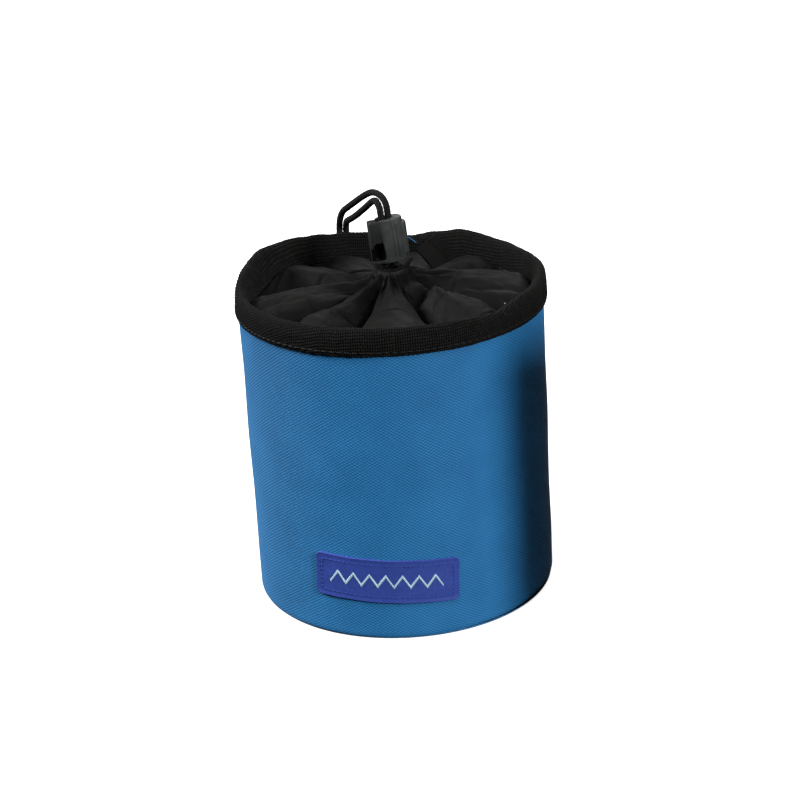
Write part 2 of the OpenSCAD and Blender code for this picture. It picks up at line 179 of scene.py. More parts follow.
def clamped(tree, value):
    return calc(tree, "MINIMUM", calc(tree, "MAXIMUM", value, 0.0), 1.0)


def sineOf(tree, value, pitch):
    # a wave along value, one full turn every pitch metres
    return calc(tree, "SINE", calc(tree, "MULTIPLY", value, 2 * math.pi / pitch))


def noiseOf(tree, where, size, detail=3.0):
    return addNode(tree, "ShaderNodeTexNoise",
                   {"Vector": where, "Scale": 1 / size, "Detail": detail}).outputs["Fac"]


def rangeOf(tree, value, low, high, newLow, newHigh):
    return addNode(tree, "ShaderNodeMapRange", {
        "Value": value, "From Min": low, "From Max": high, "To Min": newLow, "To Max": newHigh,
    }).outputs["Result"]


def mixColour(tree, share, a, b):
    made = addNode(tree, "ShaderNodeMix", data_type="RGBA")
    for socket, value in ((made.inputs[0], share), (made.inputs[6], a), (made.inputs[7], b)):
        if isinstance(value, bpy.types.NodeSocket):
            tree.links.new(value, socket)
        else:
            socket.default_value = value
    return made.outputs[2]


def startMaterial(name, **fixed):
    made = bpy.data.materials.new(name)
    made.use_nodes = True
    tree = made.node_tree
    shader = tree.nodes["Principled BSDF"]
    for key, value in fixed.items():
        shader.inputs[key.replace("_", " ")].default_value = value
    place = addNode(tree, "ShaderNodeTexCoord")
    return made, tree, shader, place


def putBump(tree, shader, height, depth, strength=1.0, under=None):
    inputs = {"Height": height, "Distance": depth, "Strength": strength}
    if under is not None:
        inputs["Normal"] = under
    made = addNode(tree, "ShaderNodeBump", inputs)
    tree.links.new(made.outputs[0], shader.inputs["Normal"])
    return made.outputs[0]


def splitUv(tree, place):
    made = addNode(tree, "ShaderNodeSeparateXYZ", {0: place.outputs["UV"]})
    return made.outputs[0], made.outputs[1]


wovenCloth = {
    "warpPitch": 0.93 * mm,
    "weftPitch": 0.58 * mm,
    "crown": (0.0195, 0.158, 0.360, 1),
    "gap": (0.008, 0.075, 0.200, 1),
    "bump": 0.16 * mm,
    "fibre": 0.25 * mm,
    "patch": 16 * mm,
}


def wovenMaterial(name, s):
    # plain weave of thick flat yarns: crowns of warp and weft lie in staggered rows
    made, tree, shader, place = startMaterial(
        name, Roughness=0.62, Diffuse_Roughness=0.6, Specular_IOR_Level=0.2,
        Sheen_Weight=0.05, Sheen_Roughness=0.3)
    u, v = splitUv(tree, place)
    across = sineOf(tree, u, 2 * s["warpPitch"])
    along = sineOf(tree, v, 2 * s["weftPitch"])
    crowns = rangeOf(tree, calc(tree, "MULTIPLY", across, along), -1, 1, 0, 1)
    fibre = noiseOf(tree, place.outputs["Object"], s["fibre"], 2)
    patch = noiseOf(tree, place.outputs["Object"], s["patch"], 3)
    height = calc(tree, "ADD", crowns, calc(tree, "MULTIPLY", fibre, 0.25))
    tone = calc(tree, "ADD", rangeOf(tree, height, 0.15, 1.1, 0, 1),
                rangeOf(tree, patch, 0.3, 0.7, -0.12, 0.12))
    tree.links.new(mixColour(tree, clamped(tree, tone), s["gap"], s["crown"]), shader.inputs["Base Color"])
    tree.links.new(rangeOf(tree, crowns, 0, 1, 0.74, 0.52), shader.inputs["Roughness"])
    putBump(tree, shader, height, s["bump"], 0.8)
    return made


ribbedTape = {
    "valley": (0.0006, 0.0006, 0.0006, 1),
    "ridge": (0.0135, 0.0133, 0.0127, 1),
    "bead": 0.85 * mm,
    "lint": 0.6 * mm,
    "bump": 0.16 * mm,
}


def tapeMaterial(name, s):
    # fuzzy ribbed tape: the mesh has the ribs, this adds their beads and the lint on top, and paints shade
    # between the ribs
    made, tree, shader, place = startMaterial(name, Diffuse_Roughness=0.6, Specular_IOR_Level=0.05)
    beads = sineOf(tree, splitUv(tree, place)[0], s["bead"])
    lint = noiseOf(tree, place.outputs["Object"], s["lint"], 4)
    rise = addNode(tree, "ShaderNodeAttribute", attribute_name="ribHeight").outputs["Fac"]
    height = calc(tree, "ADD", calc(tree, "MULTIPLY", beads, 0.5), calc(tree, "MULTIPLY", lint, 1.4))
    # painted shade: by the rib height, the valleys between the ribs are painted near black and the crests
    # paler
    tone = calc(tree, "ADD", rangeOf(tree, rise, 0.15, 0.95, 0.0, 0.7),
                rangeOf(tree, height, 0.1, 1.3, -0.35, 0.6))
    tree.links.new(mixColour(tree, clamped(tree, tone), s["valley"], s["ridge"]), shader.inputs["Base Color"])
    tree.links.new(rangeOf(tree, lint, 0.3, 0.7, 0.8, 1.0), shader.inputs["Roughness"])
    putBump(tree, shader, height, s["bump"], 0.9)
    return made


closureCloth = {
    "yarn": 0.42 * mm,
    "dark": (0.0010, 0.0010, 0.0010, 1),
    "light": (0.0050, 0.0049, 0.0046, 1),
    "chalk": (0.42, 0.42, 0.41, 1),
    "crease": 7 * mm,
    "creaseDepth": 0.7 * mm,
    "fine": 0.5 * mm,
    "bump": 0.07 * mm,
    # one speck may lie in each cell, and specks keep together in patches
    "speckCell": 5.5 * mm,
    "speckPatch": 11 * mm,
}


def closureMaterial(name, s):
    # thin coated cloth: fine weave, soft shine, painted shade in the creases, a trace of chalk dust in specks
    made, tree, shader, place = startMaterial(name, Diffuse_Roughness=0.6, Specular_IOR_Level=0.045)
    u, v = splitUv(tree, place)
    weave = calc(tree, "MULTIPLY", sineOf(tree, u, 2 * s["yarn"]), sineOf(tree, v, 2 * s["yarn"]))
    crease = noiseOf(tree, place.outputs["Object"], s["crease"], 4)
    fine = noiseOf(tree, place.outputs["Object"], s["fine"], 3)
    tone = calc(tree, "ADD", rangeOf(tree, crease, 0.3, 0.7, 0.25, 0.7),
                calc(tree, "MULTIPLY", calc(tree, "ADD", weave, fine), 0.14))
    # painted shade and light: the cloth's tone goes to its darkest in the creases between the folds and a
    # little paler on their ridges
    paintedFoldShade = addNode(tree, "ShaderNodeAttribute", attribute_name="ribHeight").outputs["Fac"]
    tone = calc(tree, "MULTIPLY", tone, rangeOf(tree, paintedFoldShade, 0.1, 0.9, 0.0, 1.1))
    cloth = mixColour(tree, calc(tree, "MINIMUM", tone, 1.0), s["dark"], s["light"])
    specks = addNode(tree, "ShaderNodeTexVoronoi",
                     {"Vector": place.outputs["Object"], "Scale": 1 / s["speckCell"]})
    dust = calc(tree, "MULTIPLY", rangeOf(tree, specks.outputs["Distance"], 0.02, 0.05, 1, 0),
                rangeOf(tree, noiseOf(tree, place.outputs["Object"], s["speckPatch"], 1), 0.53, 0.57, 0, 1))
    tree.links.new(mixColour(tree, dust, cloth, s["chalk"]), shader.inputs["Base Color"])
    tree.links.new(rangeOf(tree, crease, 0.3, 0.7, 0.58, 0.75), shader.inputs["Roughness"])
    height = calc(tree, "ADD", calc(tree, "MULTIPLY", weave, 0.5), calc(tree, "MULTIPLY", fine, 0.8))
    under = addNode(tree, "ShaderNodeBump", {"Height": crease, "Distance": s["creaseDepth"], "Strength": 0.5})
    putBump(tree, shader, height, s["bump"], 0.6, under.outputs[0])
    return made


braid = {
    "dark": (0.001, 0.001, 0.001, 1),
    "light": (0.014, 0.0138, 0.0132, 1),
    "lint": 0.22 * mm,
    "bump": 0.12 * mm,
}


def cordMaterial(name, s):
    # braided cord, with painted shade where the yarns dip under each other and paler colour on the yarns that
    # stand up
    made, tree, shader, place = startMaterial(
        name, Diffuse_Roughness=0.8, Roughness=0.85, Specular_IOR_Level=0.06)
    rise = addNode(tree, "ShaderNodeAttribute", attribute_name="ribHeight").outputs["Fac"]
    lint = noiseOf(tree, place.outputs["Object"], s["lint"], 3)
    tone = calc(tree, "ADD", calc(tree, "MULTIPLY", rise, 0.7), rangeOf(tree, lint, 0.3, 0.7, -0.1, 0.35))
    tree.links.new(mixColour(tree, clamped(tree, tone), s["dark"], s["light"]), shader.inputs["Base Color"])
    putBump(tree, shader, lint, s["bump"], 0.9)
    return made


def plasticMaterial(name, colour, rough, wear, shine=0.3):
    # moulded plastic with a fine grain, paler where hands rub it, with painted shade in the plunger's hollow
    made, tree, shader, place = startMaterial(name)
    grain = noiseOf(tree, place.outputs["Object"], 0.3 * mm, 3)
    rub = noiseOf(tree, place.outputs["Object"], 3.5 * mm, 4)
    pale = tuple(min(1, c * 1.7) for c in colour[:3]) + (1,)
    share = rangeOf(tree, rub, 0.35, 0.75, 0.0, wear)
    # painted shade: where the inside attribute is set, the colour goes near black and the shine drops
    inside = addNode(tree, "ShaderNodeAttribute", attribute_name="inside").outputs["Fac"]
    shaded = mixColour(tree, inside, mixColour(tree, share, colour, pale), (0.0015, 0.0015, 0.0015, 1))
    tree.links.new(shaded, shader.inputs["Base Color"])
    tree.links.new(rangeOf(tree, inside, 0, 1, shine, 0.02), shader.inputs["Specular IOR Level"])
    tree.links.new(rangeOf(tree, rub, 0.3, 0.7, rough - 0.06, rough + 0.1), shader.inputs["Roughness"])
    putBump(tree, shader, grain, 0.03 * mm, 0.5)
    return made


def threadMaterial(name, colour):
    # twisted sewing thread
    made, tree, shader, place = startMaterial(name, Roughness=0.7, Specular_IOR_Level=0.2)
    twist = noiseOf(tree, place.outputs["Object"], 0.18 * mm, 2)
    dark = tuple(c * 0.6 for c in colour[:3]) + (1,)
    tree.links.new(mixColour(tree, rangeOf(tree, twist, 0.35, 0.65, 0, 1), dark, colour),
                   shader.inputs["Base Color"])
    putBump(tree, shader, twist, 0.06 * mm, 0.7)
    return made


def labelMaterial(name, colour, pitch):
    # close satin weave of a sewn label
    made, tree, shader, place = startMaterial(name, Diffuse_Roughness=0.6, Specular_IOR_Level=0.15)
    u, v = splitUv(tree, place)
    rows = sineOf(tree, calc(tree, "ADD", v, calc(tree, "MULTIPLY", u, 0.35)), pitch)
    mottle = noiseOf(tree, place.outputs["Object"], 1.3 * mm, 4)
    dark = tuple(c * 0.72 for c in colour[:3]) + (1,)
    tone = calc(tree, "ADD", rangeOf(tree, rows, -1, 1, 0.25, 0.75),
                rangeOf(tree, mottle, 0.3, 0.7, -0.25, 0.25))
    tree.links.new(mixColour(tree, tone, dark, colour), shader.inputs["Base Color"])
    tree.links.new(rangeOf(tree, mottle, 0.3, 0.7, 0.42, 0.6), shader.inputs["Roughness"])
    putBump(tree, shader, rows, 0.04 * mm, 0.6)
    return made


def fleeceMaterial(name, dark, light, size):
    # a soft nap of the given size, also for foam and board
    made, tree, shader, place = startMaterial(name, Roughness=0.95, Sheen_Weight=0.3)
    nap = noiseOf(tree, place.outputs["Object"], size, 5)
    tree.links.new(mixColour(tree, rangeOf(tree, nap, 0.3, 0.7, 0, 1), dark, light),
                   shader.inputs["Base Color"])
    putBump(tree, shader, nap, size * 0.5, 0.8)
    return made


def steelMaterial(name):
    # drawn spring wire
    made, tree, shader, place = startMaterial(name, Metallic=1.0)
    drawn = noiseOf(tree, place.outputs["Object"], 0.4 * mm, 3)
    tree.links.new(mixColour(tree, drawn, (0.42, 0.42, 0.43, 1), (0.62, 0.62, 0.63, 1)),
                   shader.inputs["Base Color"])
    tree.links.new(rangeOf(tree, drawn, 0.3, 0.7, 0.25, 0.4), shader.inputs["Roughness"])
    putBump(tree, shader, drawn, 0.02 * mm, 0.4)
    return made


blueCloth = wovenMaterial("blueCloth", wovenCloth)
blackTape = tapeMaterial("blackTape", ribbedTape)
blackCloth = closureMaterial("blackCloth", closureCloth)
blackCord = cordMaterial("blackCord", braid)
blackThread = threadMaterial("blackThread", (0.003, 0.003, 0.003, 1))
lockPlastic = plasticMaterial("lockPlastic", (0.0165, 0.0195, 0.0185, 1), 0.5, 0.6)
plungerPlastic = plasticMaterial("plungerPlastic", (0.0062, 0.0070, 0.0067, 1), 0.6, 0.5, 0.18)
labelBlue = labelMaterial("labelBlue", (0.029, 0.056, 0.275, 1), 0.42 * mm)
labelThread = threadMaterial("labelThread", (0.024, 0.046, 0.25, 1))
zigzagThread = threadMaterial("zigzagThread", (0.40, 0.56, 0.66, 1))
foamGrey = fleeceMaterial("foamGrey", (0.45, 0.45, 0.43, 1), (0.62, 0.62, 0.6, 1), 0.9 * mm)
fleeceGrey = fleeceMaterial("fleeceGrey", (0.012, 0.012, 0.013, 1), (0.04, 0.04, 0.042, 1), 1.6 * mm)
boardGrey = fleeceMaterial("boardGrey", (0.05, 0.05, 0.055, 1), (0.08, 0.08, 0.085, 1), 0.7 * mm)
hoopPlastic = plasticMaterial("hoopPlastic", (0.5, 0.5, 0.48, 1), 0.4, 0.2)
springSteel = steelMaterial("springSteel")
print("materials made:", len(bpy.data.materials))


# drawcords
drawcord = {
    "diameter": 2.4 * mm,
    "braidPitch": 3.4 * mm,
    "carriers": 6,
    "relief": 0.15 * mm,
    "fuzz": 0.05 * mm,
    "ringStep": 0.28 * mm,
    "sides": 28,
}
# routes from the casing through the lock and over the rear rim, in mm
outerRoute = [
    (2.1, 8.3, 125.1), (1.7, 8.3, 130), (1.3, 8.3, 135), (0.9, 8.3, 140), (0.6, 8.3, 144.8),
    (0.3, 8.6, 147), (-0.5, 9.6, 148.9), (-1.8, 11.4, 150.1), (-3.5, 14.1, 150.4), (-5.3, 18, 149.4),
    (-7.2, 23, 147.2), (-9.2, 28.8, 144.4), (-11.1, 34.6, 141.5), (-12.9, 40.4, 138.6),
    (-14.7, 46.2, 135.7), (-16.4, 51.2, 133), (-17.6, 54.3, 130.2), (-18.4, 55.9, 126.8),
    (-18.7, 56.4, 122), (-18.7, 56.4, 115), (-18.7, 56.4, 108), (-18.7, 56.4, 101),
    (-18.7, 56.4, 94), (-18.7, 56.4, 87), (-18.7, 56.4, 80), (-18.7, 56.4, 73),
    (-18.7, 56.4, 66), (-18.7, 56.5, 59), (-18.8, 57, 52), (-18.9, 57.8, 46),
    (-18.8, 58.6, 40.4)]
innerRoute = [
    (-0.5, 7.7, 125.1), (-0.8, 7.7, 130), (-1.2, 7.7, 135), (-1.6, 7.7, 140), (-2, 7.7, 144.4),
    (-2.2, 8.2, 146), (-2.8, 9.7, 147.4), (-3.5, 11.6, 147.9), (-4.4, 14, 147.3),
    (-5.6, 17.5, 145.5), (-7.2, 22, 142.8), (-9, 27.4, 139.8), (-10.7, 33, 136.8),
    (-12.3, 38.6, 134.1), (-13.7, 44, 131.7), (-14.9, 49, 129.6), (-15.6, 53, 127.7),
    (-16, 55.8, 124.4), (-16.1, 57.1, 119.6), (-16.1, 57.3, 113), (-16.1, 57.3, 106),
    (-16.1, 57.3, 99), (-16.1, 57.3, 92), (-16.1, 57.3, 85), (-16.1, 57.3, 78),
    (-16.1, 57.3, 71), (-16.1, 57.4, 64), (-16.1, 57.6, 57), (-16.1, 58.1, 50.6),
    (-16.1, 58.9, 45.4), (-16.2, 59.6, 40.4)]


def smoothPath(points, step, closed=False):
    # one smooth curve through the points, cut into even steps
    points = [Vector(p) for p in points]
    count = len(points)
    fine = []
    for i in range(count if closed else count - 1):
        if closed:
            p0, p1, p2, p3 = (points[(i + k) % count] for k in (-1, 0, 1, 2))
        else:
            p0, p1 = points[max(i - 1, 0)], points[i]
            p2, p3 = points[i + 1], points[min(i + 2, count - 1)]
        for k in range(24):
            t = k / 24
            fine.append(0.5 * ((2 * p1) + (p2 - p0) * t + (2 * p0 - 5 * p1 + 4 * p2 - p3) * t * t
                               + (3 * p1 - p0 - 3 * p2 + p3) * t ** 3))
    fine.append(points[0] if closed else points[-1])
    lengths = [0.0]
    for a, b in zip(fine, fine[1:]):
        lengths.append(lengths[-1] + (b - a).length)
    steps = max(2, round(lengths[-1] / step))
    path, k = [], 0
    for i in range(steps + 1):
        want = lengths[-1] * i / steps
        while k < len(fine) - 2 and lengths[k + 1] < want:
            k += 1
        share = (want - lengths[k]) / max(lengths[k + 1] - lengths[k], 1e-12)
        path.append(fine[k].lerp(fine[k + 1], share))
    return path, lengths[-1]


def sweep(name, path, radiusAt, sides, closed=False, capped=True):
    # a tube of rings along path; radiusAt(distance, angle) gives its radius and relief from 0 to 1
    verts, faces, uvs, relief = [], [], [], []
    count = len(path)
    side = Vector((0.1, 0.2, 1)) if abs((path[1] - path[0]).normalized().z) < 0.9 else Vector((1, 0.2, 0))
    run, distances = 0.0, []
    for i in range(count):
        if i:
            run += (path[i] - path[i - 1]).length
        distances.append(run)
    for i in range(count):
        ahead = path[(i + 1) % count] if closed else path[min(i + 1, count - 1)]
        behind = path[i - 1] if closed or i else path[0]
        along = (ahead - behind).normalized()
        side = (side - side.dot(along) * along).normalized()
        other = along.cross(side)
        for k in range(sides):
            a = 2 * math.pi * k / sides
            radius, rise = radiusAt(distances[i], a)
            verts.append(path[i] + radius * (math.cos(a) * side + math.sin(a) * other))
            relief.append(rise)
    rings = count if closed else count - 1
    for i in range(rings):
        for k in range(sides):
            a, b = i * sides + k, i * sides + (k + 1) % sides
            c, d = ((i + 1) % count) * sides + (k + 1) % sides, ((i + 1) % count) * sides + k
            faces.append((a, b, c, d))
            v0, v1 = distances[i], distances[i] + (path[(i + 1) % count] - path[i]).length
            uvs += [(k / sides, v0), ((k + 1) / sides, v0), ((k + 1) / sides, v1), (k / sides, v1)]
    if capped and not closed:
        for ring, flip in ((0, True), (count - 1, False)):
            centre = len(verts)
            verts.append(path[ring] + (path[ring] - path[ring - 1 if ring else 1]).normalized() * 0.3 * mm)
            relief.append(0.3)
            for k in range(sides):
                a, b = ring * sides + k, ring * sides + (k + 1) % sides
                faces.append((b, a, centre) if flip else (a, b, centre))
                uvs += [(0, distances[ring])] * 3
    mesh = bpy.data.meshes.new(name)
    mesh.from_pydata(verts, [], faces)
    layer = mesh.uv_layers.new(name="clothUv")
    for loop, uv in zip(layer.data, uvs):
        loop.uv = uv
    rises = mesh.attributes.new("ribHeight", "FLOAT", "POINT")
    rises.data.foreach_set("value", relief)
    obj = bpy.data.objects.new(name, mesh)
    bpy.context.scene.collection.objects.link(obj)
    shadeSmooth(obj, 60)
    return obj


def braidRadius(radius, s):
    # two sets of yarns wound opposite ways, each over and under the other
    def at(distance, angle):
        lay = 2 * math.pi * distance / s["braidPitch"]
        one = math.sin(s["carriers"] * angle + lay * 2)
        two = math.sin(s["carriers"] * angle - lay * 2)
        rise = 0.5 + 0.5 * max(one, two)
        return radius + s["relief"] * (rise - 0.6), rise
    return at


def makeStrand(name, route, s):
    path, length = smoothPath([Vector(p) * mm for p in route], s["ringStep"])
    obj = sweep(name, path, braidRadius(s["diameter"] / 2 + s["fuzz"], s), s["sides"])
    return obj, path, length


outerStrand, outerPath, outerLength = makeStrand("drawcordOuter", outerRoute, drawcord)
innerStrand, innerPath, innerLength = makeStrand("drawcordInner", innerRoute, drawcord)
attach(outerStrand, "bag", "cord", blackCord, ["drawcord_outer"])
attach(innerStrand, "bag", "cord", blackCord, ["drawcord_inner"])


# the knot that joins the two ends, and the two tails below it
knot = {
    "middle": Vector((-17.6, 60.4, 36.6)) * mm,
    "size": 1.12 * mm,
    "flatten": 1.1,
    "tailGap": 2.6 * mm,
    "tailFoot": -2.2 * mm,
    # the way of a tail from its foot: outwards, back and up, in mm
    "tailRoute": [(0.15, 0.2, -2.5), (0.45, 0.3, -6), (0.6, 0.1, -11)],
}


def makeKnot(s):
    loops = []
    for i in range(36):
        t = 2 * math.pi * i / 36
        loops.append(s["middle"] + s["size"] * Vector((
            math.sin(t) + 2 * math.sin(2 * t),
            -math.sin(3 * t) * s["flatten"],
            math.cos(t) - 2 * math.cos(2 * t))))
    path = smoothPath(loops, 0.35 * mm, closed=True)[0]
    turns = sweep("cordKnot", path[:-1], braidRadius(drawcord["diameter"] / 2, drawcord), 20, closed=True)
    tails = []
    for side in (-1, 1):
        foot = s["middle"] + Vector((side * s["tailGap"] / 2, 0, s["tailFoot"]))
        points = [foot] + [foot + Vector((side * x, y, z)) * mm for x, y, z in s["tailRoute"]]
        path = smoothPath(points, 0.3 * mm)[0]
        tails.append(sweep("cordTail", path, braidRadius(drawcord["diameter"] / 2, drawcord), 20))
    return turns, joinAll(tails, "cordTails")


cordKnot, cordTails = makeKnot(knot)
attach(cordKnot, "bag", "cord", blackCord, ["cord_knot"])
attach(cordTails, "bag", "cord", blackCord, ["cord_tails"])
for strand, route, path, length in ((outerStrand, outerRoute, outerPath, outerLength),
                                    (innerStrand, innerRoute, innerPath, innerLength)):
    tuple(Vector(route[0]) * mm)
    [tuple(p) for p in path]
print("drawcords:", round(outerLength / mm, 1), "mm and", round(innerLength / mm, 1), "mm")


# sheets
def makeGrid(name, columns, rows, pointAt, uvAt, closed=True, ring=False, reliefAt=None):
    # a sheet of columns by rows; closed joins it round the bag, ring joins its first and last rows
    wide = columns if closed else columns + 1
    tall = rows if ring else rows + 1
    verts = [pointAt(i, j) for j in range(tall) for i in range(wide)]
    faces, uvs = [], []
    for j in range(rows):
        low, high = j * wide, (j + 1) % tall * wide
        for i in range(columns):
            right = (i + 1) % wide
            faces.append((low + i, low + right, high + right, high + i))
            for a, b in ((i, j), (i + 1, j), (i + 1, j + 1), (i, j + 1)):
                uvs.extend(uvAt(a, b))
    mesh = bpy.data.meshes.new(name)
    mesh.from_pydata(verts, [], faces)
    mesh.uv_layers.new(name="clothUv").data.foreach_set("uv", uvs)
    if reliefAt:
        rises = mesh.attributes.new("ribHeight", "FLOAT", "POINT")
        rises.data.foreach_set("value", [reliefAt(i, j) for j in range(tall) for i in range(wide)])
    obj = bpy.data.objects.new(name, mesh)
    bpy.context.scene.collection.objects.link(obj)
    return obj


def thicken(obj, thickness, offset=-1.0):
    made = obj.modifiers.new("thickness", "SOLIDIFY")
    made.thickness = thickness
    made.offset = offset
    applyModifiers(obj)
    return obj


def softenEdges(obj, width, segments=3, angle=32):
    made = obj.modifiers.new("soft", "BEVEL")
    made.width, made.segments = width, segments
    made.limit_method, made.angle_limit = "ANGLE", math.radians(angle)
    applyModifiers(obj)
    return obj


def uvFromPlan(obj):
    layer = obj.data.uv_layers[0] if obj.data.uv_layers else obj.data.uv_layers.new(name="clothUv")
    for loop, where in zip(obj.data.loops, layer.data):
        p = obj.data.vertices[loop.vertex_index].co
        where.uv = (p.x, p.y)


bag = {
    "wall": 57 * mm,
    "foam": 56.3 * mm,
    "lining": 54.7 * mm,
    "inside": 53.4 * mm,
    "height": 122 * mm,
    "clothTop": 116 * mm,
    "cloth": 0.6 * mm,
    # outline of the wall's foot, as radius and height in mm
    "foot": [(55.5, 0.3), (56.1, 0.42), (56.55, 0.75), (56.85, 1.3), (57.0, 2.1), (57.0, 3.2)],
    "columns": 288,
    "rows": 38,
    "seamTurn": 152.0,
    # how far the wall gives, the size of its dents, and the height where they start
    "give": (0.35 * mm, 26 * mm, 25 * mm),
    # how far the foot stands off the floor in mm, by turn from the front
    "footLift": [(-120, 0.5), (-60, 0.15), (-25, 0.0), (5, 0.15), (35, 0.9), (62, 1.5), (90, 1.3), (130, 0.6),
                 (180, 0.5)],
    "footReach": 9 * mm,
}


def makeWall(s):
    # cloth round the bag, its outline given as (radius, height) pairs from the bottom up
    profile = [(r * mm, z * mm) for r, z in s["foot"]]
    footTop = profile[-1][1]
    for i in range(1, s["rows"] + 1):
        profile.append((s["wall"], footTop + (s["clothTop"] - footTop) * i / s["rows"]))
    run = [0.0]
    for (r0, z0), (r1, z1) in zip(profile, profile[1:]):
        run.append(run[-1] + math.hypot(r1 - r0, z1 - z0))
    give, size, start = s["give"]

    def pointAt(i, j):
        r, z = profile[j]
        turn = s["seamTurn"] + 360 * i / s["columns"]
        dent = give * noise.noise(onCircle(turn, r, z) / size) * ease(z / start)
        return onCircle(turn, r + dent, z)

    def uvAt(i, j):
        return 2 * math.pi * s["wall"] * i / s["columns"], run[j]
    obj = makeGrid("wallCloth", s["columns"], len(profile) - 1, pointAt, uvAt)
    for v in obj.data.vertices:
        # the foot of the wall isn't quite level all round
        lift = roundTable(s["footLift"], turnOf(v.co)) * (1 - ease(v.co.z / s["footReach"]))
        v.co.z += lift * mm
    thicken(obj, s["cloth"])
    shadeSmooth(obj, 50)
    return obj


wallCloth = makeWall(bag)
attach(wallCloth, "bag", "wall_cloth", blueCloth, ["outer_wall"])

floorDisc = {
    "radius": bag["wall"] - bag["cloth"],
    "height": 0.62 * mm,
    "thickness": 0.55 * mm,
    # from the edge inwards: how wide each step is, and how far it goes down
    "turnedUp": [(0.5 * mm, 0.5 * mm), (1.2 * mm, 0.12 * mm)],
    "rings": 5,
    "ringWidth": 9 * mm,
}


def makeFloorCloth(s):
    # the round floor: flat below, its edge turned up inside the foot of the wall
    deselectAll()
    bpy.ops.mesh.primitive_circle_add(vertices=144, radius=s["radius"], fill_type="NGON",
                                      location=(0, 0, s["height"]))
    obj = bpy.context.active_object
    bpy.ops.object.mode_set(mode="EDIT")
    for width, drop in s["turnedUp"]:
        bpy.ops.mesh.inset(thickness=width)
        bpy.ops.transform.translate(value=(0, 0, -drop))
    for ring in range(s["rings"]):
        bpy.ops.mesh.inset(thickness=s["ringWidth"])
    bpy.ops.mesh.select_all(action="SELECT")
    bpy.ops.mesh.flip_normals()
    bpy.ops.object.mode_set(mode="OBJECT")
    settle(obj, "floorCloth")
    uvFromPlan(obj)
    thicken(obj, s["thickness"])
    shadeSmooth(obj, 50)
    return obj


floorCloth = makeFloorCloth(floorDisc)
attach(floorCloth, "bag", "wall_cloth", blueCloth, ["outer_base"])


# layers inside the wall
def makeInsideLayer(name, outer, inner, low, high, columns=96):
    # a thick tube with a square section
    outline = [(outer, low), (outer, high), (inner, high), (inner, low)]
    corners = []
    for (r0, z0), (r1, z1) in zip(outline, outline[1:] + outline[:1]):
        steps = 10 if abs(z1 - z0) > 20 * mm else 2
        corners += [(r0 + (r1 - r0) * k / steps, z0 + (z1 - z0) * k / steps) for k in range(steps)]
    obj = makeGrid(name, columns, len(corners),
                   lambda i, j: onCircle(360 * i / columns, *corners[j]),
                   lambda i, j: (outer * 2 * math.pi * i / columns, j * 5 * mm), ring=True)
    shadeSmooth(obj, 50)
    return obj


def makeInsideDisc(name, radius, low, thickness):
    deselectAll()
    bpy.ops.mesh.primitive_cylinder_add(vertices=96, radius=radius, depth=thickness,
                                        location=(0, 0, low + thickness / 2))
    obj = bpy.context.active_object
    bpy.ops.object.mode_set(mode="EDIT")
    bpy.ops.mesh.select_all(action="SELECT")
    bpy.ops.mesh.bevel(offset=thickness * 0.3, segments=2)
    bpy.ops.object.mode_set(mode="OBJECT")
    settle(obj, name)
    shadeSmooth(obj, 50)
    return obj


# where each layer starts and ends in height, and the gap between neighbours
layers = {
    "gap": 0.05 * mm,
    "foam": (6.9 * mm, 116 * mm),
    "tape": (1.0 * mm, 6.7 * mm),
    "lining": (2.4 * mm, 115.5 * mm),
    "floorLow": 2.35 * mm,
    "floorThickness": 1.45 * mm,
}
gap = layers["gap"]
foamTube = makeInsideLayer("foamTube", bag["foam"] - gap, bag["lining"] + gap, *layers["foam"])
attach(foamTube, "bag", "foam", foamGrey, ["wall_stiffener"])
seamTape = makeInsideLayer("seamTape", bag["foam"] - gap, bag["lining"] + gap, *layers["tape"])
attach(seamTape, "bag", "seam_tape", blackTape, ["base_seam"])
liningTube = makeInsideLayer("liningTube", bag["lining"] - gap, bag["inside"], *layers["lining"])
attach(liningTube, "bag", "fleece", fleeceGrey, ["lining_wall"])
liningFloor = makeInsideDisc("liningFloor", bag["inside"] - gap, layers["floorLow"], layers["floorThickness"])
attach(liningFloor, "bag", "fleece", fleeceGrey, ["lining_base"])
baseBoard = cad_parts["base_board"]
baseBoard.data.materials.clear()
baseBoard.data.materials.append(boardGrey)
print("wall, floor and inner layers made")


# rim binding
binding = {
    "ribPitch": 1.18 * mm,
    "ribRelief": 0.45 * mm,
    "beadPitch": 1.5 * mm,
    "columns": 840,
    "rows": 92,
    "depth": 24.5 * mm,
    "underStep": 2.2 * mm,
    "edgeFade": 1.2 * mm,
    # how far the ribs wave and the size of the waves, then how unequal they are and the size of that
    "waver": (0.5 * mm, 5 * mm),
    "swell": (0.5, 2.2 * mm),
    # share of the rim's rise that the inner leg takes
    "innerShare": 0.45,
    # uneven spots of the top and of the lower part: how far, and how large
    "softTop": (0.35 * mm, 9 * mm),
    "softFoot": (0.25 * mm, 13 * mm),
    # outline from the outer edge over the rim to the inner edge, as radius and height in mm
    "outline": [(57.25, 112.1), (57.85, 111.9), (58.15, 113.2), (58.25, 116), (58.1, 118.6), (57.4, 120.8),
                (56.2, 121.9), (54.9, 121.75), (53.9, 120.6), (53.3, 118.6), (52.9, 116), (52.6, 113.4),
                (52.45, 111.2), (52.75, 110.6)],
    "under": [(53.3, 111.4), (53.6, 114), (54.0, 117), (54.7, 119.6), (55.8, 120.6), (56.8, 119.4),
              (57.2, 117), (57.2, 114)],
}
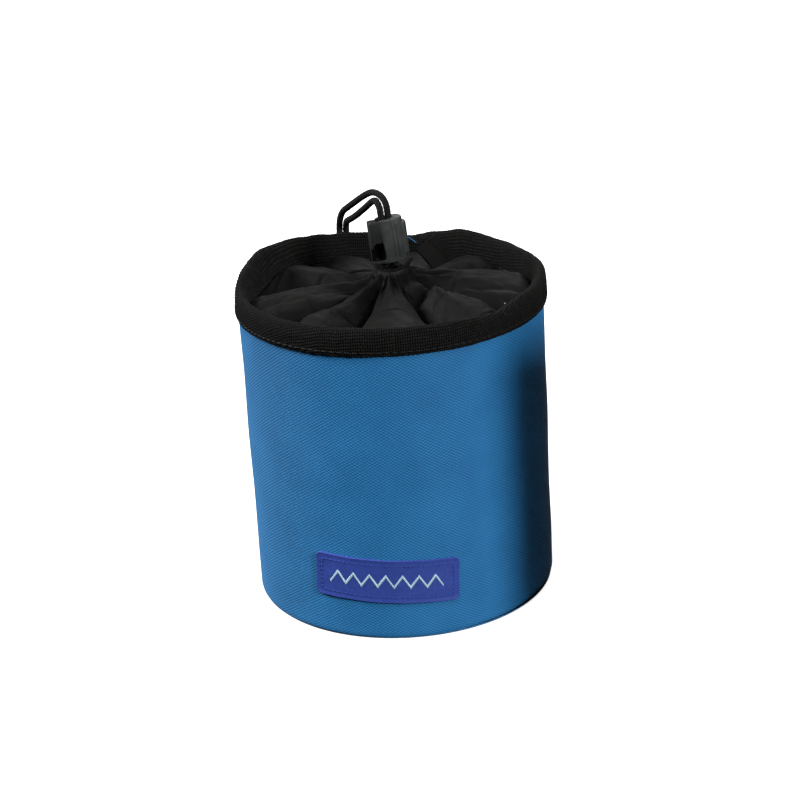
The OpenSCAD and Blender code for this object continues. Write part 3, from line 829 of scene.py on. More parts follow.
# height of the rim's top, and how steeply the ribs climb to the right, by turn from the front
rimTop = [(-105, 124.9), (-119, 126.8), (-137, 126.0), (-148, 125.0), (-160, 123.5), (-172, 122.4),
          (-189, 120.2), (-200, 122.0), (-212, 123.8), (-228, 122.6), (-245, 122.3), (-267, 123.2),
          (-302, 122.7), (-320, 120.6), (-339, 121.6), (-364, 122.0), (-392, 121.9), (-423, 121.8),
          (-446, 120.3)][::-1]
ribSlope = [(-95, 30), (-50, 29), (-38, 18), (-22, 5), (20, 2), (34, 8), (45, 17), (60, 34), (92, 36),
            (118, 10), (150, 1), (180, -2), (215, 0), (240, 6)]


def rimRise(turn):
    return roundTable(rimTop, turn) * mm - bag["height"]


def hemLift(turn):
    # how far the inner leg of the binding rises with the rim
    return binding["innerShare"] * rimRise(turn)


def ribClimb(columns, radius, pitch):
    # how far the ribs have climbed at each column, made to close up after one round
    step = 2 * math.pi * radius / columns
    climb = [0.0]
    for i in range(columns):
        slope = math.radians(roundTable(ribSlope, 360 * (i + 0.5) / columns))
        climb.append(climb[-1] + step * math.tan(slope))
    spare = climb[-1] - round(climb[-1] / pitch) * pitch
    return [c - spare * i / columns for i, c in enumerate(climb)]


def makeBinding(s):
    outline, length = smoothPath([Vector((r, z, 0)) * mm for r, z in s["outline"]], s["depth"] / s["rows"])
    section = outline + smoothPath([Vector((r, z, 0)) * mm for r, z in s["under"]], s["underStep"])[0]
    ribbed = len(outline)
    climb = ribClimb(s["columns"], bag["wall"], s["ribPitch"])
    run = [length * k / (ribbed - 1) for k in range(ribbed)]
    normals = []
    for k in range(ribbed):
        along = (outline[min(k + 1, ribbed - 1)] - outline[max(k - 1, 0)]).normalized()
        normals.append(Vector((along.y, -along.x)))
    tops = [rimRise(360 * i / s["columns"]) for i in range(s["columns"] + 1)]
    around = 2 * math.pi * bag["wall"] / s["columns"]

    def roughAt(turn, height, kind):
        far, size = s[kind]
        return far * noise.noise(onCircle(turn, bag["wall"], height) / size)

    def riseAt(i, j):
        # height of the ribs from 0 to 1: each is a string of beads, lower at the tape's edges
        if j >= ribbed:
            return 0.2
        turn = 360 * i / s["columns"]
        phase = math.pi * (run[j] - climb[i] + roughAt(turn, 0.4 * run[j], "waver")) / s["ribPitch"]
        edge = ease(min(run[j], length - run[j]) / s["edgeFade"])
        swell = 0.78 + roughAt(turn, run[j], "swell")
        beads = around * i / s["beadPitch"] + 0.5 * run[j] / s["ribPitch"]
        bead = 0.78 + 0.22 * math.sin(2 * math.pi * beads)
        return abs(math.sin(phase)) ** 1.5 * edge * swell * bead

    def pointAt(i, j):
        turn = 360 * i / s["columns"]
        p = section[j]
        r, z = p.x, p.y
        if j < ribbed:
            puff = s["ribRelief"] * (riseAt(i, j) - 0.5)
            r += normals[j].x * puff
            z += normals[j].y * puff
        # the top follows the rim's rise and fall, and the inner leg takes a share of it
        share = ease((z - 112.5 * mm) / (9 * mm))
        inner = ease((55.5 * mm - r) / (2 * mm)) * s["innerShare"]
        z += tops[i] * max(share, inner)
        top = roughAt(turn, 0, "softTop") * share
        foot = roughAt(turn, 0.3, "softFoot") * (1 - share)
        return onCircle(turn, r + top, z + foot)

    def uvAt(i, j):
        v = run[j] if j < ribbed else length + (j - ribbed) * 2 * mm
        return 2 * math.pi * bag["wall"] * i / s["columns"], v

    # the section runs up the outside, so the faces point outwards
    obj = makeGrid("rimBinding", s["columns"], len(section), pointAt, uvAt, ring=True, reliefAt=riseAt)
    shadeSmooth(obj, 180)
    return obj


rimBinding = makeBinding(binding)
attach(rimBinding, "bag", "binding_tape", blackTape, ["rim_binding"])

hoop = {"radius": 55.6 * mm, "height": 118.4 * mm, "follow": 0.74, "thick": 1.05 * mm, "points": 120}


def makeHoop(s):
    # a flexible ring inside the binding, which follows most of the rim's rise and fall
    turns = [360 // s["points"] * k for k in range(s["points"])]
    path = [onCircle(turn, s["radius"], s["height"] + s["follow"] * rimRise(turn)) for turn in turns]
    return sweep("rimHoop", path, lambda distance, angle: (s["thick"], 0.5), 12, closed=True)


rimHoop = makeHoop(hoop)
attach(rimHoop, "bag", "hoop_plastic", hoopPlastic, ["rim_hoop"])
print("binding made:", len(rimBinding.data.polygons), "faces")


# stitches: where the straight middle ends, how much the ends taper, and how far they dip
stitchShape = {"middle": 0.22, "taper": 0.55, "dip": 0.9}


def makeStitch(length, radius, s=stitchShape):
    # one stitch: a short round thread, lying along X, its ends dipping into the cloth
    deselectAll()
    bpy.ops.mesh.primitive_cylinder_add(vertices=6, radius=radius, depth=length, rotation=(0, math.pi / 2, 0))
    obj = bpy.context.active_object
    bpy.ops.object.transform_apply(location=True, rotation=True, scale=True)
    bpy.ops.object.mode_set(mode="EDIT")
    for side in (1, -1):
        bpy.ops.mesh.select_all(action="SELECT")
        bpy.ops.mesh.bisect(plane_co=(side * length * s["middle"], 0, 0), plane_no=(1, 0, 0))
    bpy.ops.object.mode_set(mode="OBJECT")
    for v in obj.data.vertices:
        share = abs(v.co.x) / (length / 2)
        v.co.y *= 1 - s["taper"] * share ** 3
        v.co.z = v.co.z * (1 - s["taper"] * share ** 3) - radius * s["dip"] * share ** 2
    shadeSmooth(obj, 70)
    return obj


def sewRow(name, base, places):
    # copies of one stitch, each with its own mesh, at (point, along, outward) places
    made = []
    for point, along, outward in places:
        copy = bpy.data.objects.new(name, base.data.copy())
        bpy.context.scene.collection.objects.link(copy)
        x = along.normalized()
        z = (outward - outward.dot(x) * x).normalized()
        turn = Matrix((x, z.cross(x), z)).transposed()
        copy.data.transform(Matrix.Translation(point) @ turn.to_4x4())
        made.append(copy)
    bpy.data.objects.remove(base)
    return joinAll(made, name)


def ringOfStitches(radius, height, count, outward, liftAt=None):
    # outward is 1 for stitches seen from outside the bag, and -1 for those seen from inside
    places = []
    for i in range(count):
        turn = 360 * i / count
        out = onCircle(turn, 1.0)
        lift = liftAt(turn) if liftAt else 0
        places.append((onCircle(turn, radius, height + lift), onCircle(turn + 90, 1.0), out * outward))
    return places


# the two rows on the binding, as radius, height and count
bindingThread = {
    "length": 2.5 * mm,
    "thick": 0.3 * mm,
    "outside": (58.22 * mm, 113.5 * mm, 130),
    "inside": (52.5 * mm, 112.0 * mm, 118),
}
bindingStitches = sewRow("bindingStitches", makeStitch(bindingThread["length"], bindingThread["thick"]),
                         ringOfStitches(*bindingThread["outside"], 1)
                         + ringOfStitches(*bindingThread["inside"], -1, hemLift))
attach(bindingStitches, "bag", "thread", blackThread, ["binding_stitching"])


# closure
closure = {
    "middle": Vector((0.5, 4, 0)) * mm,
    "hem": 52.6 * mm,
    "mouth": 3.0 * mm,
    "thickness": 0.5 * mm,
    "columns": 360,
    "rows": 60,
    # where the casing's row of stitches runs, as a share of the way from the hem to the mouth, by turn
    "casingLine": [(-60, 0.40), (-15, 0.38), (15, 0.42), (35, 0.48), (60, 0.56), (110, 0.56), (180, 0.5),
                   (270, 0.44)],
    "stitchPitch": 2.6 * mm,
    # how far the stitches draw the cloth in, and how wide that groove is
    "groove": (0.45 * mm, 0.8 * mm),
    # small uneven spots: their size, their share, and the level in the noise; then their height in mm
    "rumples": [(11 * mm, 0.7, 0.01), (4.5 * mm, 0.3, 0.02)],
    "rumple": 0.8,
    # share of the way over which the cloth is let loose, and how far it may move from its place
    "loose": 0.84,
    "farthest": 2.2 * mm,
    "frames": 12,
    "gravity": 0.0,
    "cloth": {"quality": 8, "mass": 0.002, "tension_stiffness": 12, "compression_stiffness": 12,
              "shear_stiffness": 4, "bending_stiffness": 0.02, "shrink_min": -0.04, "air_damping": 1.0},
    # heights of the ridges and the valleys in mm, by the share of the way from the hem to the mouth
    "ridge": [(0, 111.2), (0.05, 115.6), (0.12, 117.8), (0.25, 119.2), (0.45, 120.3), (0.7, 121.0),
              (0.86, 121.2), (0.93, 122.8), (1, 124.2)],
    "valley": [(0, 111.0), (0.08, 108.6), (0.2, 107.2), (0.35, 107.4), (0.55, 109.4), (0.72, 112.8),
               (0.84, 116.4), (0.92, 120.6), (1, 123.2)],
}
# folds in order round the closure: turn and height of the ridge, turn and depth of the valley after it,
# and how round the cloth is on the way down to that valley and on the way up from it
foldTable = [(-38, 0.94, -20, 0.85, 0.8, 0.42), (0, 1.0, 21, 1.0, 0.42, 0.95), (47, 1.0, 56, 0.9, 0.6, 0.5),
             (88, 1.04, 117, 1.0, 0.5, 0.6), (137, 0.56, 153, 0.6, 0.5, 0.5), (172, 0.6, 188, 0.6, 0.5, 0.5),
             (204, 0.62, 215, 0.7, 0.5, 0.5), (231, 0.78, 251, 1.2, 0.75, 0.7),
             (278, 0.93, 308, 0.75, 0.7, 0.5)]


def foldAt(turn):
    # (share of the ridge from 0 to 1, height of the ridge, depth of the valley) at a turn
    first = foldTable[0][0]
    turn = (turn - first) % 360 + first
    count = len(foldTable)
    for k in range(count):
        ridge, high, valley, deep, down, up = foldTable[k]
        nextRidge, nextHigh = foldTable[(k + 1) % count][:2]
        if k == count - 1:
            nextRidge += 360
        if turn <= valley:
            return math.sin(math.pi / 2 * (valley - turn) / (valley - ridge)) ** down, high, deep
        if turn <= nextRidge:
            return math.sin(math.pi / 2 * (turn - valley) / (nextRidge - valley)) ** up, nextHigh, deep
    return 1.0, 1.0, 1.0


# soft dents and bulges, as (x, y, reach across, reach along, turn of the long side, lift) in mm and degrees
dents = [(11.5, -11.5, 4.0, 2.6, 38, -5.5), (15.2, -12.5, 1.4, 4.5, 20, 1.3), (36, 10, 8, 3.2, -8, -1.7),
         (-30, 9, 13, 6, -20, -1.8), (-19, -17, 3.2, 9, -48, -1.6), (-6.5, -27, 0.8, 12, -14, 1.2),
         (12, 13, 5, 3.4, 35, 4.2), (19, 9, 3.0, 1.5, 10, -2.4), (7.5, 1.2, 4.2, 1.1, 32, 1.8)]


def pleatAt(t, turn):
    # narrow pleats run together near the mouth
    a = math.radians(turn)
    return math.sin(15 * a + 1.9 * math.sin(4 * a + 1) + 1.5 * t), ease((t - 0.5) / 0.35)


def wanderAt(t, turn):
    # folds wander a little from straight lines on their way to the mouth
    return 5 * noise.noise(onCircle(turn, 1.6, 3 * t)) * math.sin(math.pi * t)


def skirtPoint(t, turn, s=closure):
    share, high, deep = foldAt(turn + wanderAt(t, turn))
    r = s["hem"] + (s["mouth"] - s["hem"]) * t
    swell = math.sin(math.pi * min(t, 1)) ** 0.7
    ridge = lineTable(s["ridge"], t) + (high - 1) * 16 * swell
    valley = lineTable(s["valley"], t) - (deep - 1) * 9 * swell
    height = (valley + (ridge - valley) * share) * mm + hemLift(turn) * (1 - t) ** 6
    middle = s["middle"] * ease(t)
    p = onCircle(turn, r, 0) + Vector((middle.x, middle.y, 0))
    pleats, near = pleatAt(t, turn)
    height += (abs(pleats) ** 0.6 * (1 if pleats > 0 else -1)) * mm * near * (1.7 - 1.1 * t)
    for x, y, across, along, way, lift in dents:
        a = math.radians(way)
        dx, dy = p.x / mm - x, p.y / mm - y
        u, v = dx * math.cos(a) + dy * math.sin(a), dy * math.cos(a) - dx * math.sin(a)
        height += lift * mm * math.exp(-(u / across) ** 2 - (v / along) ** 2)
    rumple = sum(noise.noise(Vector((p.x, p.y, level)) / size) * part for size, part, level in s["rumples"])
    height += rumple * s["rumple"] * mm * math.sin(math.pi * t) ** 0.5
    return Vector((p.x, p.y, height))


def casingShare(turn):
    return roundTable(closure["casingLine"], turn)


def makeSkirt(s):
    grooveDepth, grooveWidth = s["groove"]

    def placeOf(i, j):
        return j / s["rows"], 360 * i / s["columns"]

    def seamAt(t, turn):
        off = (t - casingShare(turn)) * (s["hem"] - s["mouth"])
        return math.exp(-(off / grooveWidth) ** 2)

    def pointAt(i, j):
        t, turn = placeOf(i, j)
        p = skirtPoint(t, turn)
        p.z -= grooveDepth * seamAt(t, turn)
        return p

    def foldShare(i, j):
        # which parts of the cloth stand up; its material paints shade where this is low: in the creases,
        # between the pleats and in the stitched groove
        t, turn = placeOf(i, j)
        share = foldAt(turn + wanderAt(t, turn))[0]
        pleats, near = pleatAt(t, turn)
        return (share * (1 - near) + near * (0.25 + 0.45 * pleats)) * (1 - 0.8 * seamAt(t, turn))
    obj = makeGrid("closureSkirt", s["columns"], s["rows"], pointAt,
                   lambda i, j: (0.3 * i / s["columns"], 0.055 * j / s["rows"]), reliefAt=foldShare)
    settleCloth(obj, s)
    settled.extend(v.co.copy() for v in obj.data.vertices)
    thicken(obj, s["thickness"])
    shadeSmooth(obj, 180)
    return obj


def settleCloth(obj, s):
    # the folded cloth is let loose for a moment between its hem and its pleats, and wrinkles
    wide = s["columns"]
    held = [j * wide + i for j in range(s["rows"] + 1) for i in range(wide)
            if j < 2 or j > s["rows"] * s["loose"]]
    start = [v.co.copy() for v in obj.data.vertices]
    group = obj.vertex_groups.new(name="held")
    group.add(held, 1.0, "REPLACE")
    activate(obj)
    made = obj.modifiers.new("cloth", "CLOTH")
    cloth = made.settings
    for name, value in s["cloth"].items():
        setattr(cloth, name, value)
    cloth.vertex_group_mass = "held"
    cloth.effector_weights.gravity = s["gravity"]
    made.collision_settings.use_collision = False
    made.point_cache.frame_end = s["frames"]
    scene = bpy.context.scene
    for frameNumber in range(1, s["frames"] + 1):
        scene.frame_set(frameNumber)
    bpy.ops.object.modifier_apply(modifier=made.name)
    scene.frame_set(1)
    obj.vertex_groups.clear()
    most = 0.0
    for v, p in zip(obj.data.vertices, start):
        move = v.co - p
        most = max(most, move.length)
        if move.length > s["farthest"]:
            v.co = p + move.normalized() * s["farthest"]
    print("closure cloth moved up to", round(most / mm, 2), "mm")


# where the settled cloth is, row by row from the hem: the stitches lie on it
settled = []
closureSkirt = makeSkirt(closure)
attach(closureSkirt, "bag", "closure_cloth", blackCloth, ["closure_skirt"])


# the casing round the mouth
casing = {
    # middle, radius and the cord's height, in mm
    "middle": (0.5, 4),
    "radius": 4.8,
    "cordHeight": 122.5,
    "height": 122.3 * mm,
    "frontDrop": 0.9 * mm,
    # the roll's own radius, the height of its puckers and how uneven they are
    "roll": (1.5 * mm, 0.6 * mm, 0.2 * mm),
    "columns": 300,
    "rows": 28,
    # a fold of the casing's cloth that curls up beside the lock
    "lip": [(-3.2, 1.2, 123.6), (-0.9, 0.6, 123.7), (1.6, 1.1, 123.5), (4.0, 2.6, 123.4), (6.0, 4.5, 123.8),
            (7.3, 6.6, 124.6), (8.1, 8.6, 125.2), (8.9, 10.4, 125.2)],
    "lipRadius": 0.85 * mm,
    # the cord goes down into the casing and comes out of it beside itself
    "cordIn": [(2.1, 8.3, 125.1), (2.5, 8.1, 124.2), (3.4, 7.6, 123.3)],
    "cordOut": [(-2.8, 7.2, 123.3), (-1.4, 7.6, 124.2), (-0.5, 7.7, 125.1)],
    "step": 0.3 * mm,
}


def makeCasingRoll(s):
    # the cloth drawn tight round the cord, all in narrow puckers, lower in front of the lock
    thick, deep, uneven = s["roll"]

    def puckerAt(turn, a):
        wave = math.radians(turn)
        return abs(math.sin(wave * 6.5 + 1.1 * math.sin(wave * 3 + 0.6) + 0.5 * math.sin(a)))

    def placeOf(i, j):
        return 360 * i / s["columns"], 2 * math.pi * j / s["rows"]

    def pointAt(i, j):
        turn, a = placeOf(i, j)
        r = thick + deep * puckerAt(turn, a) ** 0.6 + uneven * noise.noise(onCircle(turn, 2.2, a))
        front = 0.5 + 0.5 * math.cos(math.radians(turn))
        height = s["height"] - s["frontDrop"] * front ** 2
        return closure["middle"] + onCircle(turn, s["radius"] * mm + r * math.cos(a),
                                            height + r * (1 - 0.2 * front) * math.sin(a))
    # the puckers' height goes to the material, which paints shade between the puckers
    obj = makeGrid("casingRoll", s["columns"], s["rows"], pointAt,
                   lambda i, j: (0.06 * i / s["columns"], 0.016 * j / s["rows"]), ring=True,
                   reliefAt=lambda i, j: 0.42 * puckerAt(*placeOf(i, j)))
    shadeSmooth(obj, 180)
    path, length = smoothPath([Vector(p) * mm for p in s["lip"]], s["step"])

    def lipRadius(distance, angle):
        # thick in the middle, thin at its ends, and a little flat
        swell = 0.55 + 0.45 * math.sin(math.pi * distance / length)
        return s["lipRadius"] * swell * (1 + 0.25 * math.cos(2 * angle)), 1.0
    return joinAll([obj, sweep("casingLip", path, lipRadius, 16)], "casingRoll")


def makeCasingCord(s):
    x, y = s["middle"]
    r = s["radius"]
    ring = [(x + r * math.cos(math.radians(a)), y + r * math.sin(math.radians(a)), s["cordHeight"])
            for a in range(25, -201, -15)]
    path = smoothPath([Vector(p) * mm for p in s["cordIn"] + ring + s["cordOut"]], s["step"])[0]
    return sweep("casingCord", path, braidRadius(drawcord["diameter"] / 2, drawcord), 20)


casingRoll = makeCasingRoll(casing)
attach(casingRoll, "bag", "closure_cloth", blackCloth, ["skirt_casing"])
casingCord = makeCasingCord(casing)
attach(casingCord, "bag", "cord", blackCord, ["casing_cord"])


def settledPoint(t, turn, s=closure):
    # the same place on the cloth once it has settled
    wide = s["columns"]
    x, y = (turn % 360) / 360 * wide, t * s["rows"]
    i, j = int(x) % wide, min(int(y), s["rows"] - 1)
    a, b = settled[j * wide + i], settled[j * wide + (i + 1) % wide]
    c, d = settled[(j + 1) * wide + i], settled[(j + 1) * wide + (i + 1) % wide]
    return a.lerp(b, x - int(x)).lerp(c.lerp(d, x - int(x)), y - j)


def casingPlaces(s):
    # stitches all along the casing's line, a little sunk into the cloth
    places, turn = [], 0.0
    while turn < 360:
        t = casingShare(turn)
        p, q = settledPoint(t, turn), settledPoint(casingShare(turn + 1), turn + 1)
        inward = settledPoint(t + 0.02, turn) - p
        out = (q - p).cross(inward).normalized()
        places.append((p + out * (-0.15 * mm), q - p, out))
        turn += s["stitchPitch"] / max((q - p).length, 0.2 * mm)
    return places


casingStitches = sewRow("casingStitches", makeStitch(1.9 * mm, 0.2 * mm), casingPlaces(closure))
attach(casingStitches, "bag", "thread", blackThread)

# the folded end of the casing that stands up behind the lock
upright = {
    # its corners in mm
    "top": (18, 30, 127.6),
    "right": (26.5, 33, 117),
    "bottom": (19.1, 24, 117),
    "left": (12.3, 26, 125),
    # share of its height that goes on under the folds
    "buried": 0.35,
    "columns": 26,
    "rows": 34,
    "size": (0.0135, 0.013),
    "bend": (0.5 * mm, 0.4 * mm),
    # the stitched line across it: where, how wide and how deep
    "line": (0.62, 0.025, 0.3 * mm),
    "thickness": 1.2 * mm,
    "edge": 0.45 * mm,
}


def makeCasingEnd(s):
    top, right, bottom, left = (Vector(s[k]) * mm for k in ("top", "right", "bottom", "left"))
    columns, rows = s["columns"], s["rows"]
    lineAt, lineWidth, lineDepth = s["line"]

    def nearLine(v):
        return math.exp(-((v - lineAt) / lineWidth) ** 2)

    def pointAt(i, j):
        u, v = i / columns, j / rows
        # v runs from the foot, which goes on under the folds, to the free end
        foot, head = left.lerp(bottom, u), top.lerp(right, u)
        p = foot + (head - foot) * (v * (1 + s["buried"]) - s["buried"])
        across = (right - top).cross(foot - head).normalized()
        bend = s["bend"][0] * math.sin(math.pi * u) + s["bend"][1] * math.sin(math.pi * v)
        return p - across * (bend - lineDepth * nearLine(v))
    # painted shade: the relief is low along the stitched line, so the material paints it darker there
    obj = makeGrid("casingEnd", columns, rows, pointAt,
                   lambda i, j: (s["size"][0] * i / columns, s["size"][1] * j / rows), closed=False,
                   reliefAt=lambda i, j: 0.9 - 0.8 * nearLine(j / rows))
    thicken(obj, s["thickness"], offset=0)
    softenEdges(obj, s["edge"], 3, 60)
    shadeSmooth(obj, 60)
    return obj


casingEnd = makeCasingEnd(upright)
attach(casingEnd, "bag", "closure_cloth", blackCloth, ["casing_end"])
print("closure made")


# pieces on the wall
def onWall(p, rise, place, radius):
    # flat work in X and Y laid on the wall at its place: a turn, a height and a slope
    turn, height, slope = place
    a = math.radians(slope)
    across = p.x * math.cos(a) + p.y * math.sin(a)
    up = p.y * math.cos(a) - p.x * math.sin(a)
    return onCircle(turn + math.degrees(across / radius), radius + rise, height + up)


label = {
    "size": (54 * mm, 17 * mm),
    "corner": 2 * mm,
    "thickness": 0.9 * mm,
    # share of the thickness that is cloth, and how far its back stands off the wall
    "cloth": 0.92,
    "standOff": 0.12 * mm,
    # the raised edge: how wide, how high over the middle, and its bevel
    "edge": 0.9 * mm,
    "relief": 0.32 * mm,
    "soft": 0.22 * mm,
    # how uneven it lies, and the size of its uneven spots
    "uneven": (0.18 * mm, 6 * mm),
    # cuts across and along, so that it can bend round the wall
    "cuts": (54, 12),
    # turn, height and slope
    "place": (-8, 24.2 * mm, 2.7),
    # the row of stitches: inset, pitch, length, thickness of the thread and how far it stands up
    "stitchInset": 2.2 * mm,
    "stitchPitch": 1.75 * mm,
    "stitch": (1.55 * mm, 0.2 * mm),
    "stitchRise": 0.2 * mm,
    # the zigzag: height, width of its bars, and how far it keeps from the label's ends
    "peaks": 7,
    "zigzag": (4.4 * mm, 1.3 * mm),
    "zigzagInset": 5.9 * mm,
    "zigzagPitch": 0.36 * mm,
    "zigzagRise": 0.17 * mm,
}


def roundedPlan(w, h, r, steps=6):
    points = []
    for cx, cy, start in ((w / 2 - r, h / 2 - r, 0), (-w / 2 + r, h / 2 - r, 90),
                          (-w / 2 + r, -h / 2 + r, 180), (w / 2 - r, -h / 2 + r, 270)):
        for k in range(steps + 1):
            a = math.radians(start + 90 * k / steps)
            points.append(Vector((cx + r * math.cos(a), cy + r * math.sin(a), 0)))
    return points


def makeLabel(s):
    w, h = s["size"]
    deselectAll()
    bpy.ops.mesh.primitive_plane_add(size=1, location=(0, 0, s["thickness"]))
    obj = bpy.context.active_object
    obj.scale = (w, h, 1)
    bpy.ops.object.transform_apply(location=True, rotation=True, scale=True)
    bpy.ops.object.mode_set(mode="EDIT")
    bpy.ops.mesh.select_all(action="SELECT")
    bpy.ops.mesh.bevel(offset=s["corner"], segments=7, affect="VERTICES")
    bpy.ops.mesh.select_all(action="SELECT")
    bpy.ops.mesh.inset(thickness=s["edge"])
    bpy.ops.transform.translate(value=(0, 0, -s["relief"]))
    for side, count, way in ((w, s["cuts"][0], Vector((1, 0, 0))), (h, s["cuts"][1], Vector((0, 1, 0)))):
        for k in range(1, count):
            bpy.ops.mesh.select_all(action="SELECT")
            bpy.ops.mesh.bisect(plane_co=way * (-side / 2 + side * k / count), plane_no=way)
    bpy.ops.object.mode_set(mode="OBJECT")
    uvFromPlan(obj)
    far, size = s["uneven"]
    for v in obj.data.vertices:
        v.co.z += far * noise.noise(Vector((v.co.x, v.co.y, 0)) / size)
    thicken(obj, s["thickness"] * s["cloth"])
    softenEdges(obj, s["soft"], 2, 50)
    for v in obj.data.vertices:
        v.co = onWall(v.co, v.co.z, s["place"], bag["wall"] + s["standOff"])
    settle(obj, "labelPatch")
    shadeSmooth(obj, 45)
    return obj


labelPatch = makeLabel(label)
attach(labelPatch, "bag", "label", labelBlue, ["label_patch"])


def labelPlaces(points, s):
    # stitches along a closed outline on the label
    lift = s["thickness"] - s["relief"] + s["stitchRise"]
    path = smoothPath(points, s["stitchPitch"], closed=True)[0]
    places = []
    for p, q in zip(path, path[1:]):
        here, there = (onWall(point, lift, s["place"], bag["wall"]) for point in (p, q))
        middle = (here + there) / 2
        places.append((middle, there - here, Vector((middle.x, middle.y, 0))))
    return places


def labelOutline(s, inset):
    w, h = s["size"]
    return roundedPlan(w - 2 * inset, h - 2 * inset, max(s["corner"] - inset, 0.6 * mm))


def denseOutline(points, step):
    # straight stretches keep straight when a smooth curve goes through the points
    made = []
    for p, q in zip(points, points[1:] + points[:1]):
        count = max(1, round((q - p).length / step))
        made += [p.lerp(q, k / count) for k in range(count)]
    return made


labelStitches = sewRow("labelStitches", makeStitch(*label["stitch"]),
                       labelPlaces(denseOutline(labelOutline(label, label["stitchInset"]), 2 * mm), label))
attach(labelStitches, "bag", "label_thread", labelThread, ["label_stitching"])


def makeZigzag(s):
    # satin stitches side by side along each slanted bar
    w = s["size"][0] - 2 * s["zigzagInset"]
    step = w / (2 * s["peaks"])
    height, line = s["zigzag"]
    corners = [Vector((-w / 2 + k * step, (1 if k % 2 else -1) * height / 2, 0))
               for k in range(2 * s["peaks"] + 1)]
    lift = s["thickness"] - s["relief"] + s["zigzagRise"]
    places = []
    for p, q in zip(corners, corners[1:]):
        count = round((q - p).length / s["zigzagPitch"])
        for k in range(count):
            middle = onWall(p.lerp(q, k / count), lift, s["place"], bag["wall"])
            places.append((middle, Vector((0, 0, 1)), Vector((middle.x, middle.y, 0))))
    return sewRow("labelZigzag", makeStitch(line * 1.15, 0.22 * mm), places)


labelZigzag = makeZigzag(label)
attach(labelZigzag, "bag", "label_zigzag", zigzagThread, ["label_zigzag"])
print("label made")


# belt loop
webbing = {
    # half its width in degrees round the bag
    "half": 10.1,
    # its way down the back, as radius and height in mm
    "path": [(57.75, 102), (57.8, 98), (57.8, 94), (57.9, 91), (58.8, 89), (61.6, 87.4), (63.6, 85.2),
             (64.2, 82), (64.2, 75), (64.2, 64), (64.2, 53), (64.2, 46), (63.6, 42.8), (61.6, 40.6),
             (58.8, 39), (57.9, 37), (57.8, 34), (57.8, 30), (57.75, 26)],
    "width": 20 * mm,
    "thickness": 1.35 * mm,
    "edge": 0.4 * mm,
    "columns": 16,
    # the weave: width of its slanted rows, how close they lie, lint and depth
    "chevron": 5 * mm,
    "rowPitch": 1.3 * mm,
    "lint": 0.4 * mm,
    "bump": 0.12 * mm,
    "dark": (0.0018, 0.0018, 0.0018, 1),
    "light": (0.014, 0.014, 0.0136, 1),
}


def webbingMaterial(name, s):
    # herringbone webbing
    made, tree, shader, place = startMaterial(
        name, Roughness=0.8, Diffuse_Roughness=0.8, Specular_IOR_Level=0.2)
    u, v = splitUv(tree, place)
    bands = calc(tree, "FRACT", calc(tree, "MULTIPLY", u, 1 / s["chevron"]))
    slant = calc(tree, "ABSOLUTE", calc(tree, "SUBTRACT", bands, 0.5))
    rows = sineOf(tree, calc(tree, "ADD", v, calc(tree, "MULTIPLY", slant, s["chevron"])), s["rowPitch"])
    lint = noiseOf(tree, place.outputs["Object"], s["lint"], 3)
    tone = calc(tree, "ADD", rangeOf(tree, rows, -1, 1, 0.1, 0.7), rangeOf(tree, lint, 0.3, 0.7, -0.1, 0.25))
    tree.links.new(mixColour(tree, tone, s["dark"], s["light"]), shader.inputs["Base Color"])
    putBump(tree, shader, calc(tree, "ADD", rows, lint), s["bump"], 0.9)
    return made


blackWebbing = webbingMaterial("blackWebbing", webbing)


def makeBeltLoop(s):
    path, length = smoothPath([Vector((r, z, 0)) * mm for r, z in s["path"]], 1 * mm)
    columns, rows = s["columns"], len(path) - 1

    def pointAt(i, j):
        turn = 180 + s["half"] * (2 * i / columns - 1)
        return onCircle(turn, path[j].x, path[j].y)
    obj = makeGrid("beltLoop", columns, rows, pointAt,
                   lambda i, j: (s["width"] * i / columns, length * j / rows), closed=False)
    for polygon in obj.data.polygons:
        polygon.flip()
    thicken(obj, s["thickness"], offset=-0.4)
    softenEdges(obj, s["edge"], 2, 50)
    shadeSmooth(obj, 60)
    return obj


beltLoop = makeBeltLoop(webbing)
attach(beltLoop, "bag", "webbing", blackWebbing, ["belt_loop"])


# a dense zigzag of thread across the webbing at each of the heights
tacks = {
    "heights": [99.3 * mm, 92.7 * mm, 35.3 * mm, 28.7 * mm],
    "half": 8,
    "count": 46,
    "lean": 0.35,
    "radius": 58.75 * mm,
    "stitch": (1.8 * mm, 0.21 * mm),
}


def makeBarTacks(s):
    places = []
    for height in s["heights"]:
        for k in range(s["count"]):
            turn = 180 - s["half"] + 2 * s["half"] * k / (s["count"] - 1)
            lean = s["lean"] if k % 2 else -s["lean"]
            out = onCircle(turn, 1.0)
            along = Vector((0, 0, 1)) + onCircle(turn + 90, lean)
            places.append((onCircle(turn, s["radius"], height), along, out))
    return sewRow("barTacks", makeStitch(*s["stitch"]), places)


barTacks = makeBarTacks(tacks)
attach(barTacks, "bag", "thread", blackThread, ["loop_tacks"])

# the lapped edge down the back
backSeam = {
    # middle and half width, in degrees round the bag
    "turn": 152,
    "half": 4.5,
    # share of the half width, and how far the cloth stands off the wall there in mm
    "profile": [(-1.0, 0.02), (-0.94, 0.3), (-0.86, 0.42), (-0.6, 0.45), (0.0, 0.42), (0.6, 0.45),
                (0.86, 0.42), (0.94, 0.3), (1.0, 0.02)],
    "low": 1.4 * mm,
    "high": 112.2 * mm,
    "length": 111 * mm,
    "rows": 60,
    "uneven": 0.05 * mm,
    "thickness": 0.3 * mm,
}


